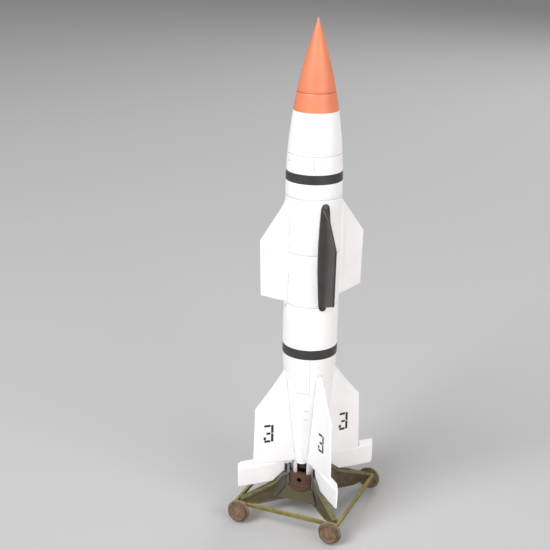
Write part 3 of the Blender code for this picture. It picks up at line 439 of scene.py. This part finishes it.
def buildHull():
    seam, wall, blunt = hull["seam"], hull["wall"], hull["bluntRadius"]
    cap = [(across * blunt, hull["tip"] - down * blunt) for across, down in hull["bluntCap"]]
    low = hull["noseJoint"] + seam
    side = [(r, z) for r, z in hullSide(hull["tip"] - hull["bluntDepth"], low) if r > blunt]
    inside = [(side[-1][0] - wall, low), (0, hull["noseJoint"] + hull["noseHollow"])]
    bm = spinProfile(cap + side + inside, hull["segments"], closed=False)
    washLines(bm)
    finishPiece("noseCone", bm, (plain["salmonEnamel"], plain["salmonWash"]), "rocket", ["nose_cone"])

    for name, node, top, bottom in (
            ("forwardSkin", "forward_section", hull["noseJoint"], hull["forwardJoint"]),
            ("centreSkin", "centre_section", hull["forwardJoint"], hull["aftJoint"]),
            ("tailSkin", "tail_section", hull["aftJoint"], hull["base"])):
        side = hullSide(top - seam, bottom + seam * (bottom != hull["base"]))
        side[0] = (side[0][0], side[0][1] - hull["rimDrop"])
        rim = [(side[0][0] - hull["rimWidth"], top - seam)]
        inner = [(r - wall, z) for r, z in reversed(side[::hull["innerEvery"]] + [side[-1]])]
        bm = spinProfile(rim + side + inner, hull["segments"])
        washLines(bm)
        if node == "tail_section":
            addFeet(bm)
        finishPiece(name, bm, (skinWhite, plain["panelWash"]), "rocket", [node])

    for name, node, (low, high) in (("upperBand", "upper_band", hull["upperBand"]),
                                    ("lowerBand", "lower_band", hull["lowerBand"])):
        heights = [lerp(high, low, i / hull["bandRows"]) for i in range(hull["bandRows"] + 1)]
        outer = [(hullRadius(z) + hull["bandProud"], z) for z in heights]
        inner = [(hullRadius(z) - hull["bandDepth"], z) for z in (low, high)]
        bm = spinProfile(outer + inner, hull["segments"])
        finishPiece(name, bm, (plain["charcoalEnamel"],), "rocket", [node])


# the four feet under the tail: reaches from the axis, half width, heights and edge in mm
foot = {"inner": 2.93, "outer": 3.52, "half": 1.3, "bottom": 9.88, "top": 13.3, "round": 0.07}


def boxAt(bm, x, y, z):
    # a block between two bounds on each axis, in mm
    made = bmesh.ops.create_cube(bm, size=1)["verts"]
    scale = Matrix.Diagonal(((x[1] - x[0]) * mm, (y[1] - y[0]) * mm, (z[1] - z[0]) * mm, 1))
    centre = Vector(((x[0] + x[1]) / 2, (y[0] + y[1]) / 2, (z[0] + z[1]) / 2)) * mm
    bmesh.ops.transform(bm, matrix=Matrix.Translation(centre) @ scale, verts=made)
    return made


def softenBox(bm, verts, width):
    edges = {edge for vert in verts for edge in vert.link_edges}
    bmesh.ops.bevel(bm, geom=list(edges), offset=width * mm, segments=2, profile=0.5, affect="EDGES",
                    material=-1, clamp_overlap=True)


def addFeet(bm):
    for number in quarters:
        known = set(bm.verts)
        verts = boxAt(bm, (foot["inner"], foot["outer"]), (-foot["half"], foot["half"]),
                      (foot["bottom"], foot["top"]))
        softenBox(bm, verts, foot["round"])
        bmesh.ops.transform(bm, matrix=quarterTurn(number), verts=[v for v in bm.verts if v not in known])


buildHull()
print("hull and bands ready")

# wings, in mm: a flat panel grows out of a long blister, the fairing, at the root
wing = {"tip": 12.6, "leadRoot": 77.45, "leadTip": 68.55, "trailTip": 55.75, "trailRoot": 53.5,
        "half": 0.36, "tipThin": 0.66, "tipTaper": 0.024, "tipRound": 0.22, "edgeRound": 0.32,
        "fairingStart": 6.6, "fairingEnd": 8.4, "fairingTop": 77.5, "fairingBottom": 52.7,
        "fairingHalf": 1.45, "fairingEndHalf": 0.85, "fairingPower": 0.8, "fairingRound": 1.1,
        "shoulder": 0.25, "shoulderPower": 0.6, "middleRows": 12}
wingReaches = (5.0, 5.9, 5.98, 6.06, 6.14, 6.22, 6.3, 6.38, 6.46, 6.6, 6.65, 6.7, 6.76, 6.85, 7.0, 7.2,
               7.4, 7.6, 7.8, 8.0, 8.2, 8.4, 8.7, 9.5, 10.5, 11.5, 12.2, 12.38, 12.48, 12.55, 12.6)
edgeShares = (0, 0.05, 0.15, 0.3, 0.55, 1.0)  # rows inside a rounded edge, as shares of its width
edgeLeast = 0.2  # what is left of the thickness at the very edge


def edgeFactor(distance, width):
    # share of the full thickness at this distance from a rounded edge
    near = clamp01(distance / width)
    return lerp(edgeLeast, 1, math.sqrt(1 - (1 - near) ** 2))


def rowShares(height, width, middle):
    # shares from the bottom to the top: close together in both rounded edges, even between
    low = [share * width / height for share in edgeShares]
    inner = [lerp(low[-1], 1 - low[-1], i / (middle + 1)) for i in range(1, middle + 1)]
    return low + inner + [1 - share for share in reversed(low)]


def plateFromGrid(columns, rows, place):
    # two skins from one grid: place(column, row) gives reach, height and half thickness in mm
    bm = bmesh.new()
    bmesh.ops.create_grid(bm, x_segments=columns - 1, y_segments=rows - 1, size=0.5)
    grown = bmesh.ops.extrude_face_region(bm, geom=bm.verts[:] + bm.edges[:] + bm.faces[:], use_keep_orig=True)
    far = {item for item in grown["geom"] if isinstance(item, bmesh.types.BMVert)}
    for vert in bm.verts:
        column = round((vert.co.x + 0.5) * (columns - 1))
        row = round((vert.co.y + 0.5) * (rows - 1))
        reach, height, half = place(column, row)
        vert.co = Vector((reach, half if vert in far else -half, height)) * mm
    closeUp(bm)
    return bm


wingRows = rowShares(wing["fairingTop"] - wing["fairingBottom"], wing["fairingRound"], wing["middleRows"])


def wingPlace(column, row):
    reach, share = wingReaches[column], wingRows[row]
    span = (reach - hull["radius"]) / (wing["tip"] - hull["radius"])
    past = reach - wing["fairingStart"]
    # the ends step from the fairing's to the panel's over a short shoulder
    outward = clamp01(past / wing["shoulder"]) ** wing["shoulderPower"]
    top, bottom = (lerp(wing[fairing], lerp(wing[root], wing[tip], span), outward) for fairing, root, tip in
                   (("fairingTop", "leadRoot", "leadTip"), ("fairingBottom", "trailRoot", "trailTip")))
    # the thickness falls from the fairing's to the panel's along half a cosine
    fat = lerp(wing["fairingEndHalf"], wing["fairingHalf"], math.sin(math.pi * share) ** wing["fairingPower"])
    swell = (1 + math.cos(math.pi * clamp01(past / (wing["fairingEnd"] - wing["fairingStart"])))) / 2
    half = lerp(wing["half"] * lerp(1, wing["tipThin"], clamp01(span)), fat, swell)
    edge = edgeFactor(min(share, 1 - share) * (top - bottom),
                      lerp(wing["edgeRound"], wing["fairingRound"], swell))
    tipEdge = edgeFactor(wing["tip"] - reach, wing["tipRound"])
    drawnIn = 1 - wing["tipTaper"] * (1 - share) * clamp01(span)  # the tip leans in towards the tail
    return reach * drawnIn, lerp(bottom, top, share), half * edge * tipEdge


washReach = (-0.15, 0.11)  # mm from the hull's skin, where a thin line of wash gathers


def washRoot(bm, rootRadius):
    # the wash line on a wing or fin along the hull, slot 1; on the front fin it is darkened with painted shade
    for face in bm.faces:
        middle = face.calc_center_median()
        proud = math.hypot(middle.x, middle.y) / mm - rootRadius(middle.z / mm)
        face.material_index = int(washReach[0] < proud < washReach[1])


def buildWings():
    for number in quarters:
        bm = plateFromGrid(len(wingReaches), len(wingRows), wingPlace)
        washRoot(bm, lambda z: hull["radius"])
        bmesh.ops.transform(bm, matrix=quarterTurn(number), verts=bm.verts)
        # the front wing is dark
        paint = plain["charcoalEnamel"] if number == 1 else panelWhite
        finishPiece(f"wingPanel{number}", bm, (paint, plain["panelWash"]), "rocket", [f"wing_{number}"],
                    sharp=40)


buildWings()
print("wings ready")

# fins, in mm: wedges that grow thicker towards the root and the bottom; the lug holds the rudder pin
fin = {"leadRoot": 37.4, "leadTip": 27.7, "tip": 13.3, "flare": 0.42, "bottom": 13.45, "sunk": 0.54,
       "rootTopHalf": 0.65, "rootHalf": 1.45, "rootPower": 0.6, "edgeHalf": 0.24, "hollowPower": 1.6,
       "leastHalf": 0.14, "edgeRound": 0.45, "tipRound": 0.2, "span": 9, "rowRound": 0.6,
       "columns": 34, "columnPower": 1.15, "middleRows": 16, "lug": ((4.0, 5.75), (-0.5, 0.5), (12.4, 13.7)),
       "lugRound": 0.08,
       "skinShares": (0, 0.025, 0.035, 0.045, 0.055, 0.065, 0.075, 0.085, 0.095, 0.105)}
finRows = rowShares(fin["leadRoot"] - fin["bottom"], fin["rowRound"], fin["middleRows"])


def finRoot(z):
    return hullRadius(z) - fin["sunk"]


def finEdge(z):
    return fin["tip"] + fin["flare"] * (fin["leadTip"] - z) / (fin["leadTip"] - fin["bottom"])


def finHalf(across, z):
    depth = clamp01((fin["leadRoot"] - z) / (fin["leadRoot"] - fin["bottom"]))
    root = lerp(fin["rootTopHalf"], fin["rootHalf"], depth ** fin["rootPower"])
    return lerp(fin["edgeHalf"], root, max(1 - across, 0) ** fin["hollowPower"])


def finPlace(column, row):
    # the first columns stand close together where the hull's skin is
    start = fin["skinShares"]
    if column < len(start):
        across = start[column]
    else:
        left = 1 - (column - len(start) + 1) / (fin["columns"] - len(start))
        across = lerp(start[-1], 1, 1 - left ** fin["columnPower"])
    top = lerp(fin["leadRoot"], fin["leadTip"], across)
    z = lerp(fin["bottom"], top, finRows[row])
    edge = edgeFactor(top - z, fin["edgeRound"]) * edgeFactor((1 - across) * fin["span"], fin["tipRound"])
    return lerp(finRoot(z), finEdge(z), across), z, max(finHalf(across, z), fin["leastHalf"]) * edge


# the stencilled figure: strokes as (left, right, bottom, top) in mm round its middle
figure = {"reach": 9.6, "height": 21.05, "shift": -0.45, "proud": 0.03, "film": 0.02, "corner": 0.12,
          "strokes": ((-1.1, 0.42, 1.72, 2.28), (0.56, 1.14, 0.1, 2.16), (-0.58, 0.42, -0.28, 0.28),
                      (0.56, 1.14, -2.16, -0.06), (-1.05, 0.42, -2.28, -1.72), (-1.24, -0.66, -1.62, -0.84))}


def addFigure(bm, side):
    # read from the side it is on, so it runs outwards on one face and inwards on the other
    for left, right, bottom, top in figure["strokes"]:
        known = set(bm.verts)
        made = bmesh.ops.create_grid(bm, x_segments=1, y_segments=1, size=0.5)["verts"]
        bmesh.ops.scale(bm, vec=(right - left, top - bottom, 1), verts=made)
        bmesh.ops.bevel(bm, geom=made, offset=figure["corner"], segments=2, profile=0.5,
                        affect="VERTICES", material=-1)
        for vert in [vert for vert in bm.verts if vert not in known]:
            z = figure["height"] + (bottom + top) / 2 + vert.co.y
            reach = figure["reach"] - side * (figure["shift"] + (left + right) / 2 + vert.co.x)
            across = (reach - finRoot(z)) / (finEdge(z) - finRoot(z))
            vert.co = Vector((reach, side * (finHalf(across, z) + figure["proud"]), z)) * mm


def buildFins():
    for number in quarters:
        bm = plateFromGrid(fin["columns"], len(finRows), finPlace)
        washRoot(bm, hullRadius)
        softenBox(bm, boxAt(bm, *fin["lug"]), fin["lugRound"])
        bmesh.ops.transform(bm, matrix=quarterTurn(number), verts=bm.verts)
        # the front fin's root line carries painted shade of its root crease
        wash = plain["rootWashShade" if number == 1 else "panelWash"]  # the front fin is outlined more strongly
        finishPiece(f"finPanel{number}", bm, (panelWhite, wash), "rocket", [f"fin_{number}"],
                    sharp=40)

        ink = bmesh.new()
        for side in (-1, 1):
            addFigure(ink, side)
        bmesh.ops.recalc_face_normals(ink, faces=ink.faces)
        for face in ink.faces:
            if face.normal.y * face.calc_center_median().y < 0:
                face.normal_flip()
        bmesh.ops.solidify(ink, geom=ink.faces[:], thickness=figure["film"] * mm)
        bmesh.ops.recalc_face_normals(ink, faces=ink.faces)
        bmesh.ops.transform(ink, matrix=quarterTurn(number), verts=ink.verts)
        finishPiece(f"finFigure{number}", ink, (plain["decalInk"],), "rocket", [])


buildFins()
print("fins and figures ready")

# rudders, in mm: a blade below the hinge axis, a round nose over it and a horn outside the fin
rudder = {"axis": 12.9, "nose": 0.5, "noseLeast": 0.05, "inner": 5.85, "outer": 17.5, "kneeReach": 8.75,
          "kneeHeight": 10.4, "bottom": 8.15, "hornTop": 14.75, "hornReach": 13.86, "hornGap": 0.05,
          "edgeHalf": 0.16, "sidePower": 0.8, "outerThin": 0.6, "thinOver": 3.6, "corner": 0.72,
          "bottomRound": 0.18, "topRound": 0.15, "endRound": 0.2,
          "kneeSteps": 4, "lowSteps": 5, "hornSteps": 4, "cornerSteps": 5, "noseRows": 6,
          "sideShares": (0, 0.02, 0.06, 0.12, 0.3, 0.5, 0.7, 0.85, 0.95, 1)}


def steps(low, high, count, first=0):
    # even steps from low to high; the first may be left out
    return [lerp(low, high, i / count) for i in range(first, count + 1)]


def rudderColumns():
    # reach, bottom and top at each column, with a quarter round at both outer corners
    nose, corner, start = rudder["nose"], rudder["corner"], rudder["outer"] - rudder["corner"]
    knee, low, horn = (rudder[key] - rudder["axis"] for key in ("kneeHeight", "bottom", "hornTop"))
    slope = zip(steps(rudder["inner"], rudder["kneeReach"], rudder["kneeSteps"]),
                steps(knee, low, rudder["kneeSteps"]))
    columns = [(reach, bottom, nose) for reach, bottom in slope]
    underFin = steps(rudder["kneeReach"], rudder["hornReach"] - rudder["hornGap"], rudder["lowSteps"], first=1)
    columns += [(reach, low, nose) for reach in underFin]
    columns += [(reach, low, horn) for reach in steps(rudder["hornReach"], start, rudder["hornSteps"])]
    for turn in steps(0, math.radians(90), rudder["cornerSteps"], first=1):
        lift = corner * (1 - math.cos(turn))
        columns.append((start + corner * math.sin(turn), low + lift, horn - lift))
    return columns


def rudderPlace(column, row):
    # rows run up the blade to the axis, then round the nose, and from its middle on up the horn
    reach, bottom, top = rudderShape[column]
    nose, edge, shares, noseRows = (rudder[key] for key in ("nose", "edgeHalf", "sideShares", "noseRows"))
    past = row - len(shares) + 1
    if past <= 0:
        height = lerp(bottom, 0, shares[row])
        half = lerp(edge, nose, shares[row] ** rudder["sidePower"])
        half *= edgeFactor(height - bottom, rudder["bottomRound"])
    else:
        turn = math.radians(90) * past / noseRows
        height = nose * math.sin(turn)
        half = nose * max(math.cos(turn), rudder["noseLeast"])
        if top > nose:
            onHorn = past - noseRows / 2
            if onHorn >= 0:
                height = lerp(nose * math.sin(math.radians(45)), top, onHorn / (noseRows / 2))
            half = max(half, edge) * edgeFactor(top - height, rudder["topRound"])
    thin = lerp(1, rudder["outerThin"], clamp01((reach - rudder["hornReach"]) / rudder["thinOver"]))
    end = edgeFactor(rudder["outer"] - reach, rudder["endRound"])
    return reach, rudder["axis"] + height, half * thin * end


rudderShape = rudderColumns()


def buildRudders():
    for number in quarters:
        bm = plateFromGrid(len(rudderShape), len(rudder["sideShares"]) + rudder["noseRows"], rudderPlace)
        bmesh.ops.transform(bm, matrix=quarterTurn(number), verts=bm.verts)
        finishPiece(f"rudderBlade{number}", bm, (panelWhite,), f"rudder_{number}", [f"rudder_{number}"],
                    sharp=40)
        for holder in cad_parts[f"rudder_pin_{number}"].material_slots:
            holder.material = pinSteel  # the pin shows its own CAD mesh


buildRudders()
print("rudders ready")

# tail end: the engine's bell and the four cone fairings on the tail, in mm
bell = {"throat": 1.3, "exit": 2.5, "exitHeight": 11.0, "top": 18.5, "wall": 0.35, "curve": 0.8,
        "flange": (13.7, 14.3), "flangeRadius": 2.68, "inside": (11.0, 12.0, 13.0, 14.5, 16.0, 17.2, 18.1),
        "insideTop": 18.15, "above": (18.5, 17.5, 16.5, 15.5), "below": (13.2, 12.6, 12.0, 11.5),
        "lip": ((0.06, 11.25), (0.06, 11.04), (0, 11.0)), "segments": 72}
cone = {"radius": 1.25, "tip": 0.15, "top": 18.2, "bottom": 13.1, "ridge": 4.35, "swell": 0.1, "cuts": 6,
        "segments": 40}


def bellRadius(z):
    share = clamp01((bell["top"] - z) / (bell["top"] - bell["exitHeight"]))
    return lerp(bell["throat"], bell["exit"], share ** bell["curve"])


def buildTail():
    low, high = bell["flange"]
    side = [(bellRadius(z), z) for z in (*bell["above"], high)]
    side += [(bell["flangeRadius"], high), (bell["flangeRadius"], low)]
    side += [(bellRadius(z), z) for z in (low, *bell["below"])]
    lip = [(bell["exit"] + proud, z) for proud, z in bell["lip"]]
    inside = [(bellRadius(z) - bell["wall"], z) for z in bell["inside"]]
    profile = [(0, bell["top"])] + side + lip + inside + [(0, bell["insideTop"])]
    bm = spinProfile(profile, bell["segments"], closed=False)
    finishPiece("engineBell", bm, (plain["scorchedSteelAndHoleShade"],), "rocket", ["nozzle"])

    height = cone["top"] - cone["bottom"]
    for number in quarters:
        bm = bmesh.new()
        bmesh.ops.create_cone(bm, cap_ends=True, segments=cone["segments"], radius1=cone["radius"] * mm,
                              radius2=cone["tip"] * mm, depth=height * mm,
                              matrix=Matrix.Translation((0, 0, height * mm / 2)))
        rising = [edge for edge in bm.edges if abs(edge.verts[0].co.z - edge.verts[1].co.z) > mm]
        bmesh.ops.subdivide_edges(bm, edges=rising, cuts=cone["cuts"], use_grid_fill=False)
        for vert in bm.verts:
            # bulge a little, and lean so that the outer side stays at the ridge's reach
            share = vert.co.z / (height * mm)
            swell = 1 + cone["swell"] * math.sin(math.pi * share)
            lean = cone["ridge"] - lerp(cone["radius"], cone["tip"], share)
            vert.co.x = vert.co.x * swell + lean * mm
            vert.co.y *= swell
            vert.co.z += cone["bottom"] * mm
        closeUp(bm)
        between = quarterTurn(number) @ Matrix.Rotation(math.radians(45), 4, "Z")
        bmesh.ops.transform(bm, matrix=between, verts=bm.verts)
        finishPiece(f"coneFairing{number}", bm, (panelWhite,), "rocket", [f"tail_fairing_{number}"],
                    sharp=50)


buildTail()
print("tail end ready")

# launch ring, in mm: a short tube with eight vent holes, a ledge inside and a bead round its foot
ring = {"radius": 4.57, "wall": 0.5, "top": 10.28, "bottom": 7.1, "ledge": (9.33, 9.83), "ledgeInner": 2.2,
        "beadProud": 0.12, "beadTop": 0.35, "beadEdge": 0.2, "round": 0.05, "segments": 120,
        "holes": 8, "holeRadius": 0.63, "holeHeight": 8.83, "holeSides": 32, "drill": 1.6}


def buildRing():
    outer, inner = ring["radius"], ring["radius"] - ring["wall"]
    soft = ring["round"]
    low, high = ring["ledge"]
    bead = outer + ring["beadProud"]
    profile = [(outer - soft, ring["top"]), (outer, ring["top"] - soft),
               (outer, ring["bottom"] + ring["beadTop"]), (bead, ring["bottom"] + ring["beadEdge"]),
               (bead, ring["bottom"]), (inner, ring["bottom"]),
               (inner, low), (ring["ledgeInner"], low), (ring["ledgeInner"], high), (inner, high),
               (inner, ring["top"] - soft), (inner + soft, ring["top"])]
    metals = (weathered["ringRust"], plain["scorchedSteelAndHoleShade"])
    tube = finishPiece("ventRing", spinProfile(profile, ring["segments"]), metals, "trolley", ["launch_ring"])
    drills = bmesh.new()
    for number in range(ring["holes"]):
        turn = Matrix.Rotation(math.tau * number / ring["holes"], 4, "Z")
        place = Matrix.Translation((outer * mm, 0, ring["holeHeight"] * mm))
        lay = place @ Matrix.Rotation(math.radians(90), 4, "Y")
        bmesh.ops.create_cone(drills, cap_ends=True, segments=ring["holeSides"], depth=ring["drill"] * mm,
                              radius1=ring["holeRadius"] * mm, radius2=ring["holeRadius"] * mm,
                              matrix=turn @ lay)
    mesh = bpy.data.meshes.new("drills")
    drills.to_mesh(mesh)
    drills.free()
    cutter = bpy.data.objects.new("drills", mesh)
    scene.collection.objects.link(cutter)
    cut = tube.modifiers.new("ventHoles", "BOOLEAN")
    cut.object = cutter
    cut.solver = "EXACT"
    bpy.context.view_layer.update()
    holed = bpy.data.meshes.new_from_object(tube.evaluated_get(bpy.context.evaluated_depsgraph_get()))
    tube.modifiers.clear()
    tube.data = holed
    bpy.data.objects.remove(cutter)
    loose = 0.02  # mm
    for face in holed.polygons:
        # painted shade on the walls of the vent holes, between the ring's two skins
        turn = math.atan2(face.center.y, face.center.x) * ring["holes"] / math.tau
        reach = math.hypot(face.center.x, face.center.y) / mm
        aside = (turn - round(turn)) * math.tau / ring["holes"] * reach
        near = math.hypot(aside, face.center.z / mm - ring["holeHeight"]) < ring["holeRadius"] + loose
        face.material_index = int(near and inner + loose < reach < outer - loose)
    holed.shade_smooth()
    holed.set_sharp_from_angle(angle=math.radians(30))


buildRing()
print("ring ready")

# the trolley's bar work keeps its CAD shape with its edges broken; edge widths and heights in mm
trolley = {"hubEdge": 0.08, "legEdge": 0.07, "barEdge": 0.08, "bracketEdge": 0.05, "postEdge": 0.05,
           "pinEdge": 0.04, "pinSharp": 50, "mergeGap": 0.0005, "flatWithin": 0.6,
           "lipFrom": 6.52, "webHalf": 0.5, "legFrom": 6, "legLength": 10.5, "legMiddle": (5.2, 4.62),
           "webAligned": 0.9, "postAligned": 0.8}  # the last two are cosines


def nodeCopy(node, width, sharp=28):
    # joined copy of a CAD node with its edges broken; the broken edges take slot 1
    bm = bmesh.new()
    bm.from_mesh(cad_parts[node].data)
    bmesh.ops.remove_doubles(bm, verts=bm.verts, dist=trolley["mergeGap"] * mm)
    bmesh.ops.dissolve_limit(bm, angle_limit=math.radians(trolley["flatWithin"]), verts=bm.verts,
                             edges=bm.edges)
    edges = [edge for edge in bm.edges
             if len(edge.link_faces) == 2 and edge.calc_face_angle(0) > math.radians(sharp)]
    for face in bm.faces:
        face.material_index = 0
    broken = bmesh.ops.bevel(bm, geom=edges, offset=width * mm, segments=2, profile=0.5, affect="EDGES",
                             material=-1, clamp_overlap=True)
    for face in broken["faces"]:
        face.material_index = 1
    bm.normal_update()
    return bm


def buildTrolley():
    olive = (weathered["oliveWeathered"], weathered["oliveWornEdge"], weathered["oliveRecessShade"])
    bars = (weathered["barYellow"], weathered["oliveWornEdge"])
    hub = (weathered["hubOlive"], weathered["oliveWornEdge"], weathered["ringRust"])
    bm = nodeCopy("hub_base", trolley["hubEdge"])
    for face in bm.faces:
        if face.calc_center_median().z / mm > trolley["lipFrom"]:
            face.material_index = 2  # the round lip under the ring is rusty as the ring is
    finishPiece("hubPyramid", bm, hub, "trolley", ["hub_base"], weighted=True)
    for number in quarters:
        bm = nodeCopy(f"leg_{number}", trolley["legEdge"])
        across = quarterTurn(number) @ Vector((0, 1, 0))
        for face in bm.faces:
            # painted shade on the web and on the lower flange behind the upper one, slot 2
            middle = face.calc_center_median()
            reach = math.hypot(middle.x, middle.y) / mm
            turned = abs(face.normal.dot(across)) > trolley["webAligned"]
            inWeb = turned and abs(middle.dot(across)) < trolley["webHalf"] * mm
            share = clamp01((reach - trolley["legFrom"]) / trolley["legLength"])
            if inWeb or middle.z / mm < lerp(*trolley["legMiddle"], share):
                face.material_index = 2
        finishPiece(f"legBeam{number}", bm, olive, "trolley", [f"leg_{number}"], weighted=True)
        finishPiece(f"tieBar{number}", nodeCopy(f"tie_bar_{number}", trolley["barEdge"]), bars, "trolley",
                    [f"tie_bar_{number}"], weighted=True)
        finishPiece(f"axlePlate{number}", nodeCopy(f"axle_bracket_{number}", trolley["bracketEdge"]), olive[:2],
                    "trolley", [f"axle_bracket_{number}"], weighted=True)
        bm = nodeCopy(f"guide_post_{number}", trolley["postEdge"])
        outward = quarterTurn(number) @ Vector((1, 0, 0))
        for face in bm.faces:
            # painted shade on the faces towards and away from the tail, grey paint on the sides
            face.material_index = int(abs(face.normal.dot(outward)) < trolley["postAligned"])
        finishPiece(f"guideRail{number}", bm, (plain["postShadow"], plain["postGrey"]), "trolley",
                    [f"guide_post_{number}"], weighted=True)
        bm = nodeCopy(f"axle_pin_{number}", trolley["pinEdge"], trolley["pinSharp"])
        finishPiece(f"axlePin{number}", bm, (weathered["wheelTan"], weathered["wheelTan"]), "trolley",
                    [f"axle_pin_{number}"])


buildTrolley()
print("trolley frame ready")

# wheels, in mm; the profile is (radius, depth) from the outer face inwards: boss, dish, raised rim,
# tread, groove, flange
wheel = {"axleX": 11.44, "axleZ": 2.76, "segments": 96, "faceRadius": 1.97, "flangeFrom": -1.0,
         "profile": ((0.5, 0), (0.78, 0), (0.85, -0.04), (0.9, -0.12), (0.98, -0.14), (1.22, -0.14),
                     (1.28, -0.08), (1.38, -0.08), (1.44, -0.14), (1.6, -0.13), (1.68, -0.03), (1.74, 0),
                     (1.9, 0), (1.96, -0.04), (1.98, -0.2), (2.06, -0.22), (2.08, -0.12), (2.16, -0.12),
                     (2.22, -0.2), (2.22, -0.92), (2.14, -0.97), (2.14, -1.06), (2.3, -1.09),
                     (2.62, -1.13), (2.72, -1.18), (2.76, -1.27), (2.76, -1.46), (2.72, -1.55),
                     (0.5, -1.55))}


def buildWheels():
    side = -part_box("wheel_1")[0].y / mm  # the outer faces stand at the CAD wheels' own reach
    paints = (weathered["wheelTan"], weathered["wheelShade"], weathered["wheelOlive"])
    for number in quarters:
        signX = 1 if number in (1, 2) else -1
        signY = 1 if number in (2, 3) else -1
        bm = spinProfile(wheel["profile"], wheel["segments"])
        for face in bm.faces:
            # tan face, shaded tread, olive flange and back
            middle = face.calc_center_median() / mm
            behind = middle.z < wheel["flangeFrom"]
            face.material_index = 2 if behind else int(math.hypot(middle.x, middle.y) > wheel["faceRadius"])
        place = Matrix.Translation((signX * wheel["axleX"] * mm, signY * side * mm, wheel["axleZ"] * mm))
        lay = place @ Matrix.Rotation(math.radians(-90 * signY), 4, "X")
        bmesh.ops.transform(bm, matrix=lay, verts=bm.verts)
        finishPiece(f"railWheel{number}", bm, paints, f"wheel_{number}", [f"wheel_{number}"],
                    sharp=32)


buildWheels()
print("wheels ready")
